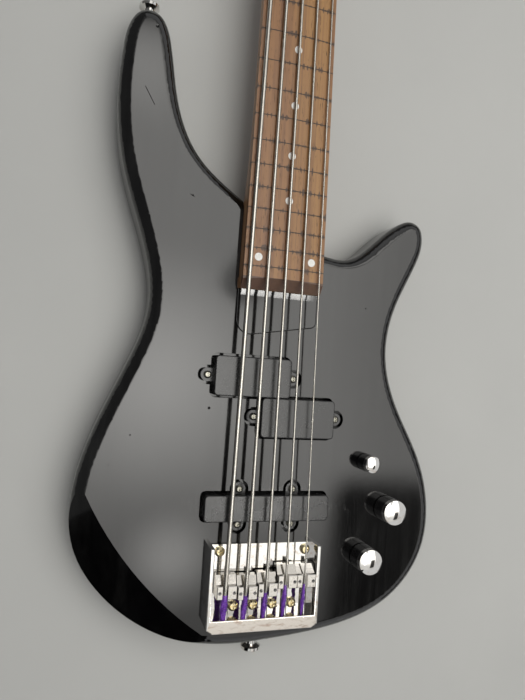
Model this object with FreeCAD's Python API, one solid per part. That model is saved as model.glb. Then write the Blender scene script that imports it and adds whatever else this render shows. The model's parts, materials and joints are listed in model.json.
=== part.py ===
import FreeCAD, Part
import math
import os

# Five-string fretless electric bass guitar, in millimetres.
# +Y runs along the neck to the headstock, +X to the treble side and +Z out of the front.
# The origin lies on the flat back of the body, on the centre line, under the saddle line.

V = FreeCAD.Vector
UP = V(0, 0, 1)
DOWN = V(0, 0, -1)
ALONG = V(0, 1, 0)
BACKWARD = V(0, -1, 0)
RIGHT = V(1, 0, 0)
LEFT = V(-1, 0, 0)

# Clearances, the overrun that serves every cut, and the length of a cut that runs right out
OVERRUN = 1.0
THROUGH = 60.0
HEX_SIDES = 6
SEAT_GAP = 0.05
RUNNING_GAP = 0.05
SCREW_GAP = 0.05
STRING_GAP = 0.2

# Strings, thickest first
SCALE_LENGTH = 863.6
STRING_DIAMETERS = (3.3, 2.7, 2.2, 1.7, 1.15)
BRIDGE_PITCH = 14.4
NUT_PITCH = 8.98
STRING_RISE = 14.5
SADDLE_BEND_RADIUS = 15.0
NUT_BEND_RADIUS = 40.0
BALL_RADIUS = 2.5
BALL_LENGTH = 4.4
WINDING_TURNS = (1.75, 2.0, 2.25, 2.5, 2.75)
WINDING_STEP_GAP = 0.6
WINDING_MARKS = 48

# Body
BODY_HALF_WIDTH = 138.0
HORN_REACH = 388.5
BODY_THICKNESS = 40.0
TOP_ROUND = 9.0
BACK_ROUND = 8.0
OUTLINE_PIECES = 12
BEND_MARKS = 4000
ROUND_TO_BEND_SHARE = 0.93
BODY_OUTLINE_SHARES = (
    (-0.02, -0.137), (0.45, -0.117), (0.783, -0.067), (0.964, 0.018), (1.0, 0.093), (0.917, 0.214),
    (0.768, 0.310), (0.681, 0.412), (0.715, 0.502), (0.833, 0.597), (0.873, 0.660), (0.848, 0.682),
    (0.786, 0.691), (0.730, 0.684), (0.580, 0.641), (0.413, 0.598), (0.261, 0.600), (0.0, 0.636),
    (-0.210, 0.683), (-0.461, 0.754), (-0.575, 0.836), (-0.634, 0.942), (-0.665, 0.978), (-0.699, 0.994),
    (-0.754, 1.0), (-0.808, 0.994), (-0.842, 0.978), (-0.875, 0.924), (-0.884, 0.862), (-0.826, 0.707),
    (-0.704, 0.577), (-0.662, 0.468), (-0.742, 0.372), (-0.899, 0.237), (-0.970, 0.093), (-0.938, 0.037),
    (-0.783, -0.047), (-0.486, -0.116),
)

# Forearm contour: a shallow cone that slopes off the lower bass corner
ARM_CENTRE_SHARE = (0.807, 0.446)
ARM_RADIUS_SHARE = 0.680
ARM_SLOPE_SHARE = 0.48
ARM_REACH_SHARE = 0.25
ARM_START_ANGLE = 200.0
ARM_SWEEP_ANGLE = 46.0

# Fingerboard
BOARD_OVERHANG = 7.6
BOARD_BEVEL = 7.9
BOARD_END_WIDTH = 60.0
NUT_WIDTH = 44.0
BOARD_THICKNESS = 6.0
BOARD_RISE = 12.5
BOARD_RADIUS = 330.0
FRET_COUNT = 24
FRET_LINE_WIDTH = 0.7
FRET_LINE_DEPTH = 1.8
SINGLE_DOT_COUNTS = (3, 5, 7, 9, 15, 17, 19, 21)
DOUBLE_DOT_COUNTS = (12, 24)
DOT_RADIUS = 2.8
DOT_DEPTH = 1.6
DOUBLE_DOT_OFFSET_SHARE = 0.333

# Neck
POCKET_DEPTH = 16.0
POCKET_GAP = 0.3
HEEL_BLOCK_LENGTH = 55.0
HEEL_SECTION_PLACES_SHARES = (0.292, 0.318, 0.344, 0.37, 0.396)
HEEL_DEPTHS = (22.0, 20.2, 18.4, 17.5, 17.3)
HEEL_ROUNDNESS = (5.0, 3.6, 2.7, 2.3, 2.2)
NUT_END_DEPTH = 15.4
THROAT_START_SHARE = 0.97
NECK_CURVE_POINTS = 14
NUT_BLOCK_ROUNDNESS = 4.0

# Heel cap, the black plate between the fingerboard and the split pickup
CAP_OVERHANG = 0.5
CAP_REACH_BASS = 42.0
CAP_REACH_TREBLE = 31.3
CAP_CORNER_BASS = 11.0
CAP_CORNER_TREBLE = 4.0
CAP_THICKNESS = 3.0
CAP_PROUD = 0.8
CAP_EDGE_ROUND = 0.6
CAP_RAMP_LENGTH = 4.2
CAP_RAMP_RISE = 1.1

# Nut
NUT_LENGTH = 5.0
NUT_PROUD = 1.6
NUT_ACTION = 0.9

# Headstock
HEAD_DROP = 6.5
HEAD_THICKNESS = 15.0
HEAD_LENGTH = 197.0
HEAD_HALF_WIDTH = 43.5
HEAD_EDGE_ROUND = 2.0
HEAD_OUTLINE_SHARES = (
    (-0.56, 0.07), (-0.78, 0.16), (-0.98, 0.24), (-0.99, 0.31), (-0.80, 0.54), (-0.61, 0.78), (-0.40, 0.94),
    (0.06, 1.0), (0.43, 0.92), (0.64, 0.76), (0.80, 0.58), (0.96, 0.36), (0.95, 0.28), (0.76, 0.17),
    (0.56, 0.07),
)
SCOOP_RADIUS = 12.0

# Truss rod and its cover
TRUSS_ROD_RADIUS = 3.0
TRUSS_ROD_DROP = 10.0
TRUSS_NUT_RADIUS = 3.2
TRUSS_NUT_LENGTH = 10.0
TRUSS_HEX_SIZE = 4.0
TRUSS_HEX_DEPTH = 6.0
TRUSS_POCKET_DEPTH = 8.0
TRUSS_POCKET_WIDTH = 9.0
TRUSS_POCKET_LENGTH = 20.0
TRUSS_COVER_START = 19.0
TRUSS_COVER_LENGTH = 28.0
TRUSS_COVER_WIDTH = 22.0
TRUSS_COVER_THICKNESS = 2.0
TRUSS_COVER_CORNER = 5.0
TRUSS_COVER_EDGE = 3.2

# Machine heads, three on the bass side and two on the treble side
POST_REACHES_SHARES = (0.28, 0.533, 0.787, 0.609, 0.355)
POST_SIDES = (-1, -1, -1, 1, 1)
POST_SHAFT_RADIUS = 5.0
POST_WAIST_RADIUS = 5.5
POST_FLANGE_RADIUS = 7.2
POST_FLANGE_HEIGHT = 2.2
POST_WAIST_HEIGHT = 13.0
POST_SLOT_WIDTH = 3.5
POST_SLOT_DEPTH = 4.5
POST_SEAT_DEPTH = 8.0
BUSHING_FLANGE_RADIUS = 8.6
BUSHING_FLANGE_HEIGHT = 1.8
BUSHING_RADIUS = 7.0
BUSHING_LENGTH = 8.0
HOUSING_HEIGHT = 12.0
HOUSING_INNER_REACH = 11.0
HOUSING_OUTER_REACH = 16.0
HOUSING_FRONT_REACH = 10.0
HOUSING_REAR_REACH = 15.0
HOUSING_ROUND = 2.5
WORM_OFFSET = 9.5
KEY_SHAFT_RADIUS = 2.7
KEY_COLLAR_RADIUS = 4.6
KEY_COLLAR_LENGTH = 5.0
KEY_BUTTON_START = 8.0
KEY_BUTTON_LENGTH = 24.0
KEY_BUTTON_WIDTH = 21.0
KEY_BUTTON_THICKNESS = 6.0
KEY_BUTTON_ROUND = 2.4
TUNER_SCREW_PLACES_SHARES = ((-0.72, -0.70), (0.75, -0.70))

# Bridge tray
TRAY_HALF_WIDTH = 40.5
TRAY_FRONT = 20.0
TRAY_REAR = 37.5
TRAY_BASE = 2.0
TRAY_WALL = 3.0
TRAY_WALL_HEIGHT = 13.0
TRAY_REAR_WALL = 9.0
TRAY_CHAMFER_WIDTH = 4.5
TRAY_CHAMFER_DEPTH = 3.0
TRAY_EDGE_ROUND = 0.8
TRAY_FRONT_SCREW_INSET = 8.7
TRAY_FRONT_SCREW_SETBACK = 4.8
TRAY_REAR_SCREW_OFFSET = 8.8
TRAY_REAR_SCREW_SETBACK = 14.8
STRING_HOLE_RISE = 9.5
STRING_HOLE_RADIUS = 1.95
BALL_POCKET_DEPTH = 5.0
BALL_POCKET_GAP = 0.3

# Saddles
SADDLE_SETBACKS = (5.0, 5.5, 4.0, -0.8, -0.5)
SADDLE_WIDTH = 14.0
SADDLE_STRING_INSET = 5.8
SADDLE_BLOCK_LENGTH = 9.0
SADDLE_RAMP_LENGTH = 6.0
SADDLE_STRING_HEIGHT = 10.4
SADDLE_TOP_ABOVE_STRING = 0.9
SADDLE_FRONT_HEIGHT = 5.0
SADDLE_STEP = 1.6
SADDLE_SLOT_WIDTH = 4.0
SADDLE_CONTACT_INSET = 1.0
SADDLE_EDGE_CHAMFER = 0.4
GRUB_RADIUS = 1.25
GRUB_OFFSETS_SHARES = (-0.28, 0.45)
GRUB_SINK = 0.4
GRUB_HEX_SIZE = 0.8
GRUB_HEX_DEPTH = 1.5
INTONATION_RADIUS = 1.3
INTONATION_OFFSET = 3.4
INTONATION_RISE = 5.5
INTONATION_HEAD_RADIUS = 2.2
INTONATION_HEAD_LENGTH = 2.0
INTONATION_FRONT_REACH = 2.5

# Pickups
PICKUP_RISE = 8.0
PICKUP_SKIRT = 12.0
PICKUP_WALL = 1.6
PICKUP_CORNER = 2.8
PICKUP_EDGE_ROUND = 0.9
PICKUP_GAP = 1.8
ROUT_DEPTH = 20.0
EAR_RADIUS = 4.7
EAR_GAP = 2.2
EAR_DROP = 0.3
EAR_THICKNESS = 2.5
EAR_ROUT_DEPTH = 7.0
SPLIT_LENGTH = 56.0
SPLIT_WIDTH = 28.0
SPLIT_MIDDLE_SHARE = 0.14335
SPLIT_SIDES_SHARES = (-1.139, 1.306)
SPLIT_GAP = 0.24
SPLIT_EAR_OFFSET = 31.8
BAR_LENGTH = 92.0
BAR_WIDTH = 18.4
BAR_PLACE_SHARES = (0.0, 0.053)
BAR_EAR_ALONG = 20.0
BAR_EAR_ACROSS = 12.4
COIL_INSET = 2.2
COIL_THICKNESS = 3.6
COIL_HEIGHT = 10.0
MAGNET_HEIGHT = 11.0

# Controls
KNOB_PLACES_SHARES = ((0.561, 0.2024), (0.7014, 0.1124), (0.571, 0.0204))
KNOB_RADII = (6.5, 9.5, 9.5)
KNOB_HEIGHTS = (15.5, 18.0, 18.0)
KNOB_LIFT = 1.0
KNOB_CAP_SHARE = 0.30
KNOB_CAP_INSET = 0.5
KNOB_HOLLOW_RADIUS = 5.8
KNOB_HOLLOW_HEIGHT = 3.2
KNOB_DOME_SHARE = 0.10
POT_SHAFT_RADIUS = 3.0
POT_BUSHING_RADIUS = 4.2
POT_CAN_RADIUS = 12.0
POT_CAN_HEIGHT = 9.0
POT_SHAFT_TOP_SHARE = 0.62
CONTROL_NUT_RADIUS = 5.5
CONTROL_NUT_HEIGHT = 2.2
CAVITY_ROOF = 6.0
CAVITY_MARGIN = 5.0
CAVITY_CORNER = 17.0
COVER_LEDGE = 6.0
COVER_THICKNESS = 2.5
COVER_SCREW_INSET = 0.4

# Output jack, in the treble edge
JACK_PLACE_SHARE = 0.08
JACK_BORE_RADIUS = 3.2
JACK_BARREL_RADIUS = 6.5
JACK_FLANGE_RADIUS = 9.5
JACK_FLANGE_HEIGHT = 2.0
JACK_SPOT_DEPTH = 2.0
JACK_REACH_IN = 7.0
JACK_NUT_RADIUS = 9.0
JACK_NUT_HEIGHT = 3.0

# Strap buttons
STRAP_FLANGE_RADIUS = 7.2
STRAP_WAIST_RADIUS = 4.2
STRAP_BASE_RADIUS = 6.0
STRAP_HEIGHT = 13.0
STRAP_BASE_HEIGHT = 2.0
STRAP_FLANGE_HEIGHT = 3.0
STRAP_SPOT_DEPTH = 1.2
STRAP_TAIL_SHARE = 0.014
STRAP_SCREW_RADIUS = 2.0
STRAP_SCREW_HEAD_RADIUS = 3.6
STRAP_SCREW_HEAD_HEIGHT = 2.0
STRAP_SCREW_BITE = 18.0

# Wood screws: head radius, head height, shank radius, length under the head
SCREW_CROWN_SHARE = 0.6
SCREW_RIM_SHARE = 0.45
RECESS_SPAN_SHARE = 0.56
RECESS_WIDTH_SHARE = 0.15
RECESS_DEPTH_SHARE = 0.6
BRIDGE_SCREW = (3.6, 2.4, 1.7, 22.0)
PICKUP_SCREW = (2.7, 1.8, 1.3, 14.0)
TUNER_SCREW = (2.3, 1.5, 1.1, 9.0)
COVER_SCREW = (2.4, 1.2, 1.1, 9.0)

# Neck screws in their ferrules, at the back
NECK_SCREW_SPREAD = 38.0
NECK_SCREW_SETBACK = 2.0
NECK_SCREW_RADIUS = 2.4
NECK_SCREW_HEAD_RADIUS = 4.4
NECK_SCREW_HEAD_HEIGHT = 3.0
NECK_SCREW_BITE = 12.0
FERRULE_RADIUS = 7.2
FERRULE_HEIGHT = 6.0
FERRULE_FLOOR = 2.2

# Hidden wiring
WIRE_RADIUS = 1.2
CHANNEL_RADIUS = 4.0
CHANNEL_RISE = 5.0

# Levels worked out from the sizes above
TOP = BODY_THICKNESS
MID = BODY_THICKNESS / 2
BOARD_TOP = TOP + BOARD_RISE
BOARD_BOTTOM = BOARD_TOP - BOARD_THICKNESS
POCKET_FLOOR = TOP - POCKET_DEPTH
HEAD_TOP = BOARD_BOTTOM - HEAD_DROP
HEAD_BOTTOM = HEAD_TOP - HEAD_THICKNESS
TRAY_TOP = TOP + TRAY_BASE
CAP_TOP = TOP + CAP_PROUD
NUT_END = SCALE_LENGTH + NUT_LENGTH
BOARD_END = SCALE_LENGTH / 2 ** (FRET_COUNT / 12) - BOARD_OVERHANG
BOARD_START = BOARD_END - BOARD_BEVEL
HEEL_TOP = CAP_TOP - CAP_THICKNESS
HEEL_BLOCK_END = BOARD_END + HEEL_BLOCK_LENGTH
CAP_HALF_WIDTH = BOARD_END_WIDTH / 2 + CAP_OVERHANG
TRUSS_POCKET_START = SCALE_LENGTH + TRUSS_COVER_START + TRUSS_COVER_EDGE
STRINGS = range(len(STRING_DIAMETERS))
MIDDLE_STRING = (len(STRING_DIAMETERS) - 1) / 2


# Plain solids

def box(x0, x1, y0, y1, z0, z1):
    return Part.makeBox(x1 - x0, y1 - y0, z1 - z0, V(x0, y0, z0))


def rod(start, end, radius):
    return Part.makeCylinder(radius, (end - start).Length, start, end - start)


def prism(points, z0, z1):
    wire = Part.makePolygon([V(x, y, z0) for x, y in points] + [V(points[0][0], points[0][1], z0)])
    return Part.Face(wire).extrude(UP * (z1 - z0))


def side_prism(points, x0, x1):
    wire = Part.makePolygon([V(x0, y, z) for y, z in points] + [V(x0, points[0][0], points[0][1])])
    return Part.Face(wire).extrude(RIGHT * (x1 - x0))


def regular_prism(centre, radius, sides, height):
    corners = [2 * math.pi * k / sides for k in range(sides)]
    points = [(centre.x + radius * math.cos(a), centre.y + radius * math.sin(a)) for a in corners]
    return prism(points, centre.z, centre.z + height)


def rounded_box(x0, x1, y0, y1, z0, z1, corner):
    block = box(x0, x1, y0, y1, z0, z1)
    upright = [e for e in block.Edges if abs(e.tangentAt(e.FirstParameter).z) > 0.5]
    return block.makeFillet(corner, upright)


def turned(profile, base, axis):
    wire = Part.makePolygon([V(r, 0, h) for r, h in profile] + [V(profile[0][0], 0, profile[0][1])])
    solid = Part.Face(wire).revolve(V(0, 0, 0), UP, 360)
    solid.Placement = FreeCAD.Placement(base, FreeCAD.Rotation(UP, axis))
    return solid


def fused(shapes):
    whole = shapes[0]
    for shape in shapes[1:]:
        whole = whole.fuse(shape)
    return whole.removeSplitter()


def round_edges_at(solid, height, radius):
    rim = [e for e in solid.Edges if all(abs(v.Z - height) < SEAT_GAP for v in e.Vertexes)
           and abs(e.BoundBox.ZLength) < SEAT_GAP]
    return solid.makeFillet(radius, rim)


def save(node, shape):
    solids = shape.Solids
    whole = solids[0] if len(solids) == 1 else Part.makeCompound(solids)
    whole.exportStep(os.path.join("parts", node + ".step"))
    sound = all(s.isValid() and s.isClosed() for s in solids)
    print(node, len(solids), "solids", round(whole.Volume), "mm3", "sound" if sound else "NOT SOUND")


# Where things lie

def crown_drop(x):
    return BOARD_RADIUS - math.sqrt(BOARD_RADIUS ** 2 - x ** 2)


def board_width(y):
    share = (y - BOARD_END) / (SCALE_LENGTH - BOARD_END)
    return BOARD_END_WIDTH + (NUT_WIDTH - BOARD_END_WIDTH) * share


def fret_place(number):
    return SCALE_LENGTH * 2 ** (-number / 12)


def string_x(string):
    return (string - MIDDLE_STRING) * BRIDGE_PITCH


def nut_x(string):
    return (string - MIDDLE_STRING) * NUT_PITCH


def string_radius(string):
    return STRING_DIAMETERS[string] / 2


def saddle_string_z(string):
    return TOP + STRING_RISE - crown_drop(string_x(string))


def nut_string_z(string):
    return BOARD_TOP - crown_drop(nut_x(string)) + NUT_ACTION + string_radius(string)


def body_place(shares):
    return V(shares[0] * BODY_HALF_WIDTH, shares[1] * HORN_REACH, 0)


def pickup_place(shares):
    return V(shares[0] * BRIDGE_PITCH, shares[1] * SCALE_LENGTH, 0)


def split_places():
    """Centres of the two halves, the bass one next to the neck and the treble one next to the bridge."""
    bass, treble = [pickup_place((side, SPLIT_MIDDLE_SHARE)) for side in SPLIT_SIDES_SHARES]
    step = (SPLIT_WIDTH + SPLIT_GAP) / 2
    return [bass + ALONG * step, treble + BACKWARD * step]


def neck_screw_places():
    half = NECK_SCREW_SPREAD / 2
    middle = BOARD_END - NECK_SCREW_SETBACK
    return [(x, middle + y) for x in (-half, half) for y in (-half, half)]


def knob_place(knob):
    return body_place(KNOB_PLACES_SHARES[knob])


def wall_point(start, direction):
    far = start + direction * (2 * HORN_REACH)
    hit = body_wire().distToShape(Part.makeLine(start, far))
    return hit[1][0][0]


def winding_radius(string):
    return POST_WAIST_RADIUS + string_radius(string) + STRING_GAP


def string_heading(string):
    return V(nut_x(string) - string_x(string), SCALE_LENGTH, 0).normalize()


def post_reach(string):
    return POST_REACHES_SHARES[string] * HEAD_LENGTH


def post_tangent(string):
    heading = string_heading(string)
    return V(nut_x(string), SCALE_LENGTH, 0) + heading * (post_reach(string) / heading.y)


def post_place(string):
    heading = string_heading(string)
    outward = V(heading.y, -heading.x, 0) * POST_SIDES[string]
    return post_tangent(string) + outward * winding_radius(string)


def key_axis_place(string):
    post = post_place(string)
    return V(post.x, post.y + WORM_OFFSET, HEAD_BOTTOM - HOUSING_HEIGHT / 2)


# Body

def body_curve():
    curve = Part.BSplineCurve()
    curve.interpolate([body_place(shares) for shares in BODY_OUTLINE_SHARES], PeriodicFlag=True)
    return curve


def edge_round(wanted):
    """The wanted rounding, or less where the outline's tightest outward bend leaves no room for it."""
    curve = body_curve()
    first, last = curve.FirstParameter, curve.LastParameter
    sharpest = 0
    for k in range(BEND_MARKS):
        mark = first + (last - first) * k / BEND_MARKS
        outward = curve.tangent(mark)[0].cross(curve.normal(mark)).z > 0
        sharpest = max(sharpest, curve.curvature(mark) if outward else 0)
    return min(wanted, ROUND_TO_BEND_SHARE / sharpest)


def body_wire():
    curve = body_curve()
    first, last = curve.FirstParameter, curve.LastParameter
    marks = [first + (last - first) * k / OUTLINE_PIECES for k in range(OUTLINE_PIECES + 1)]
    pieces = []
    for start, end in zip(marks[:-1], marks[1:]):
        piece = curve.copy()
        piece.segment(start, end)
        pieces.append(piece.toShape())
    return Part.Wire(pieces)


def arm_contour():
    reach = ARM_REACH_SHARE * HORN_REACH
    inner = ARM_RADIUS_SHARE * HORN_REACH
    drop = reach * ARM_SLOPE_SHARE
    profile = [(inner, TOP), (inner + reach, TOP - drop), (inner + reach, TOP + drop), (inner, TOP + drop)]
    wire = Part.makePolygon([V(r, 0, z) for r, z in profile] + [V(inner, 0, TOP)])
    face = Part.Face(wire)
    face.rotate(V(0, 0, 0), UP, ARM_START_ANGLE)
    face.translate(body_place(ARM_CENTRE_SHARE))
    return face.revolve(body_place(ARM_CENTRE_SHARE), UP, ARM_SWEEP_ANGLE)


def heel_outline(grow, front):
    half = CAP_HALF_WIDTH + grow
    bass = BOARD_END - CAP_REACH_BASS - grow
    treble = BOARD_END - CAP_REACH_TREBLE - grow
    plate = prism([(-half, front), (-half, bass), (half, treble), (half, front)], 0, THROUGH)
    upright = [e for e in plate.Edges if abs(e.tangentAt(e.FirstParameter).z) > 0.5]
    corners = [e for e in upright if e.Vertexes[0].Y < (treble + front) / 2]
    bass_edge = [e for e in corners if e.Vertexes[0].X < 0]
    plate = plate.makeFillet(CAP_CORNER_BASS + grow, bass_edge)
    upright = [e for e in plate.Edges if abs(e.tangentAt(e.FirstParameter).z) > 0.5]
    treble_edge = [e for e in upright
                   if e.Vertexes[0].X > half - SEAT_GAP and e.Vertexes[0].Y < treble + SEAT_GAP]
    return plate.makeFillet(CAP_CORNER_TREBLE + grow, treble_edge)


def neck_pocket():
    pocket = heel_outline(POCKET_GAP, BOARD_END)
    inner = board_width(BOARD_END) / 2 + POCKET_GAP
    outer = board_width(HORN_REACH) / 2 + POCKET_GAP
    mouth = prism([(-inner, BOARD_START), (inner, BOARD_START), (outer, HORN_REACH), (-outer, HORN_REACH)],
                  0, THROUGH)
    pocket = pocket.fuse(mouth)
    pocket.translate(UP * POCKET_FLOOR)
    return pocket


def ear_shape(place, toward, radius, z0, z1):
    tab = Part.makeCylinder(radius, z1 - z0, V(place.x, place.y, z0))
    across = V(-toward.y, toward.x, 0) * radius
    inner = place + toward * EAR_RADIUS
    corners = [place + across, place - across, inner - across, inner + across]
    return tab.fuse(prism([(c.x, c.y) for c in corners], z0, z1))


def pickup_layouts():
    """Centre, length, width and screw ears of each pickup, with the way each ear points home."""
    layouts = []
    for centre in split_places():
        ears = [(centre + LEFT * SPLIT_EAR_OFFSET, RIGHT), (centre + RIGHT * SPLIT_EAR_OFFSET, LEFT)]
        layouts.append((centre, SPLIT_LENGTH, SPLIT_WIDTH, ears))
    centre = pickup_place(BAR_PLACE_SHARES)
    ears = [(centre + V(side * BAR_EAR_ALONG, end * BAR_EAR_ACROSS, 0), ALONG * -end)
            for side in (-1, 1) for end in (-1, 1)]
    layouts.append((centre, BAR_LENGTH, BAR_WIDTH, ears))
    return layouts


def pickup_block(layout, grow, z0, z1):
    centre, length, width, ears = layout
    half_x = length / 2 + grow
    half_y = width / 2 + grow
    return rounded_box(centre.x - half_x, centre.x + half_x, centre.y - half_y, centre.y + half_y, z0, z1,
                       PICKUP_CORNER + grow)


def pickup_rout(layout):
    rout = pickup_block(layout, PICKUP_GAP, TOP - ROUT_DEPTH, TOP + OVERRUN)
    for place, toward in layout[3]:
        rout = rout.fuse(ear_shape(place, toward, EAR_RADIUS + EAR_GAP, TOP - EAR_ROUT_DEPTH, TOP + OVERRUN))
    return rout


def cavity_bounds(grow):
    places = [knob_place(k) for k in range(len(KNOB_RADII))]
    reach = POT_CAN_RADIUS + CAVITY_MARGIN + grow
    xs = [p.x for p in places]
    ys = [p.y for p in places]
    return min(xs) - reach, max(xs) + reach, min(ys) - reach, max(ys) + reach


def control_cavity():
    cavity = rounded_box(*cavity_bounds(0), -OVERRUN, TOP - CAVITY_ROOF, CAVITY_CORNER)
    recess = rounded_box(*cavity_bounds(COVER_LEDGE), -OVERRUN, COVER_THICKNESS, CAVITY_CORNER + COVER_LEDGE)
    return cavity.fuse(recess)


def cover_screw_places():
    x0, x1, y0, y1 = cavity_bounds(COVER_LEDGE / 2)
    middle_x = (x0 + x1) / 2
    middle_y = (y0 + y1) / 2
    z = COVER_SCREW[1] + COVER_SCREW_INSET
    return [V(x0, middle_y, z), V(x1, middle_y, z), V(middle_x, y0, z), V(middle_x, y1, z)]


def jack_wall():
    y = JACK_PLACE_SHARE * HORN_REACH
    point = wall_point(V(0, y, 0), RIGHT)
    return V(point.x, y, MID)


def jack_seat():
    return jack_wall() - RIGHT * JACK_SPOT_DEPTH


def strap_seats():
    """Seat point and outward direction of the strap buttons, horn first."""
    tip = body_place(max(BODY_OUTLINE_SHARES, key=lambda shares: shares[1]))
    tail = wall_point(V(STRAP_TAIL_SHARE * BODY_HALF_WIDTH, 0, 0), BACKWARD)
    return [(V(tip.x, tip.y - STRAP_SPOT_DEPTH, MID), ALONG),
            (V(tail.x, tail.y + STRAP_SPOT_DEPTH, MID), BACKWARD)]


def make_body():
    block = Part.Face(body_wire()).extrude(UP * BODY_THICKNESS)
    block = round_edges_at(block, TOP, edge_round(TOP_ROUND))
    block = round_edges_at(block, 0, edge_round(BACK_ROUND))
    cuts = [arm_contour(), neck_pocket(), control_cavity()]
    cuts += [pickup_rout(layout) for layout in pickup_layouts()]
    cuts += [rod(start, end, CHANNEL_RADIUS) for start, end in channel_runs()]
    for knob in range(len(KNOB_RADII)):
        place = knob_place(knob)
        cuts.append(rod(place, place + UP * (TOP + OVERRUN), POT_BUSHING_RADIUS + SEAT_GAP))
    seat = jack_seat()
    cuts.append(rod(seat, seat + RIGHT * THROUGH, JACK_FLANGE_RADIUS + SEAT_GAP))
    cuts.append(rod(seat, V(knob_place(1).x, seat.y, seat.z), JACK_BARREL_RADIUS + SEAT_GAP))
    for seat, outward in strap_seats():
        cuts.append(rod(seat, seat + outward * THROUGH, STRAP_BASE_RADIUS + SEAT_GAP))
        cuts.append(rod(seat - outward * STRAP_SCREW_BITE, seat, STRAP_SCREW_RADIUS + SCREW_GAP))
    for x, y in neck_screw_places():
        cuts.append(rod(V(x, y, -OVERRUN), V(x, y, FERRULE_HEIGHT), FERRULE_RADIUS + SEAT_GAP))
        cuts.append(rod(V(x, y, 0), V(x, y, TOP), NECK_SCREW_RADIUS + SCREW_GAP))
    for place in tray_screw_places():
        cuts.append(screw_hole(place, DOWN, BRIDGE_SCREW))
    for place in pickup_screw_places():
        cuts.append(screw_hole(place, DOWN, PICKUP_SCREW))
    for place in cover_screw_places():
        cuts.append(screw_hole(place, UP, COVER_SCREW))
    for cut in cuts:
        block = block.cut(cut)
    return block.removeSplitter()


# Screws

def screw(place, bite, sizes):
    head_radius, head_height, shank_radius, length = sizes
    profile = [(0, head_height), (head_radius * SCREW_CROWN_SHARE, head_height),
               (head_radius, head_height * SCREW_RIM_SHARE), (head_radius, 0), (shank_radius, 0),
               (shank_radius, -length), (0, -length)]
    whole = turned(profile, place, bite * -1)
    return whole.cut(cross_recess(place - bite * head_height, bite, head_radius, head_height))


def cross_recess(place, bite, head_radius, head_height):
    """The driver's cross, cut into the head from its top."""
    span = head_radius * RECESS_SPAN_SHARE
    half = head_radius * RECESS_WIDTH_SHARE
    depth = head_height * RECESS_DEPTH_SHARE
    cross = box(-span, span, -half, half, -depth, OVERRUN)
    cross = cross.fuse(box(-half, half, -span, span, -depth, OVERRUN))
    cross.Placement = FreeCAD.Placement(place, FreeCAD.Rotation(UP, bite * -1))
    return cross


def screw_hole(place, bite, sizes):
    shank_radius, length = sizes[2], sizes[3]
    return rod(place - bite * OVERRUN, place + bite * (length + SCREW_GAP), shank_radius + SCREW_GAP)


def tray_screw_places():
    front_x = TRAY_HALF_WIDTH - TRAY_FRONT_SCREW_INSET
    front_y = TRAY_FRONT - TRAY_FRONT_SCREW_SETBACK
    rear_y = TRAY_REAR_SCREW_SETBACK - TRAY_REAR
    places = [V(-front_x, front_y, TRAY_TOP), V(front_x, front_y, TRAY_TOP)]
    for string in STRINGS[:-1]:
        places.append(V(string_x(string) + TRAY_REAR_SCREW_OFFSET, rear_y, TRAY_TOP))
    return places


def pickup_screw_places():
    return [V(place.x, place.y, TOP - EAR_DROP) for layout in pickup_layouts() for place, toward in layout[3]]


# Neck and fingerboard

def board_section(y):
    half = board_width(y) / 2
    side = BOARD_TOP - crown_drop(half)
    foot = Part.LineSegment(V(-half, y, BOARD_BOTTOM), V(half, y, BOARD_BOTTOM))
    right = Part.LineSegment(V(half, y, BOARD_BOTTOM), V(half, y, side))
    crown = Part.Arc(V(half, y, side), V(0, y, BOARD_TOP), V(-half, y, side))
    left = Part.LineSegment(V(-half, y, side), V(-half, y, BOARD_BOTTOM))
    return Part.Wire([part.toShape() for part in (foot, right, crown, left)])


def plain_board():
    blank = Part.makeLoft([board_section(BOARD_START), board_section(SCALE_LENGTH)], True, True)
    before = BOARD_START - OVERRUN
    wedge = [(BOARD_START, BOARD_BOTTOM), (before, BOARD_BOTTOM), (before, BOARD_TOP + OVERRUN),
             (BOARD_END + OVERRUN * BOARD_BEVEL / BOARD_THICKNESS, BOARD_TOP + OVERRUN)]
    return blank.cut(side_prism(wedge, -BOARD_END_WIDTH, BOARD_END_WIDTH))


def fret_slots():
    slots = []
    for number in range(1, FRET_COUNT + 1):
        y = fret_place(number)
        half = FRET_LINE_WIDTH / 2
        slots.append(box(-BOARD_END_WIDTH, BOARD_END_WIDTH, y - half, y + half,
                         BOARD_TOP - crown_drop(board_width(y) / 2) - FRET_LINE_DEPTH, BOARD_TOP + OVERRUN))
    return Part.makeCompound(slots)


def dot_plugs():
    plugs = []
    for number in SINGLE_DOT_COUNTS + DOUBLE_DOT_COUNTS:
        y = (fret_place(number) + fret_place(number - 1)) / 2
        offset = board_width(y) * DOUBLE_DOT_OFFSET_SHARE
        for x in ((0,) if number in SINGLE_DOT_COUNTS else (-offset, offset)):
            foot = V(x, y, BOARD_TOP - crown_drop(x) - DOT_DEPTH)
            plugs.append(rod(foot, foot + UP * (BOARD_THICKNESS + OVERRUN), DOT_RADIUS))
    return Part.makeCompound(plugs)


def neck_section(y, width, depth, roundness):
    """Flat top with a rounded back: a superellipse whose power runs from round to nearly square."""
    points = []
    for k in range(NECK_CURVE_POINTS + 1):
        angle = math.pi * k / NECK_CURVE_POINTS
        across = math.copysign(abs(math.cos(angle)) ** (2 / roundness), math.cos(angle))
        down = math.sin(angle) ** (2 / roundness) if 0 < k < NECK_CURVE_POINTS else 0
        points.append(V(across * width / 2, y, BOARD_BOTTOM - down * depth))
    back = Part.BSplineCurve()
    back.interpolate(points)
    return Part.Wire([back.toShape(), Part.makeLine(points[-1], points[0])])


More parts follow.
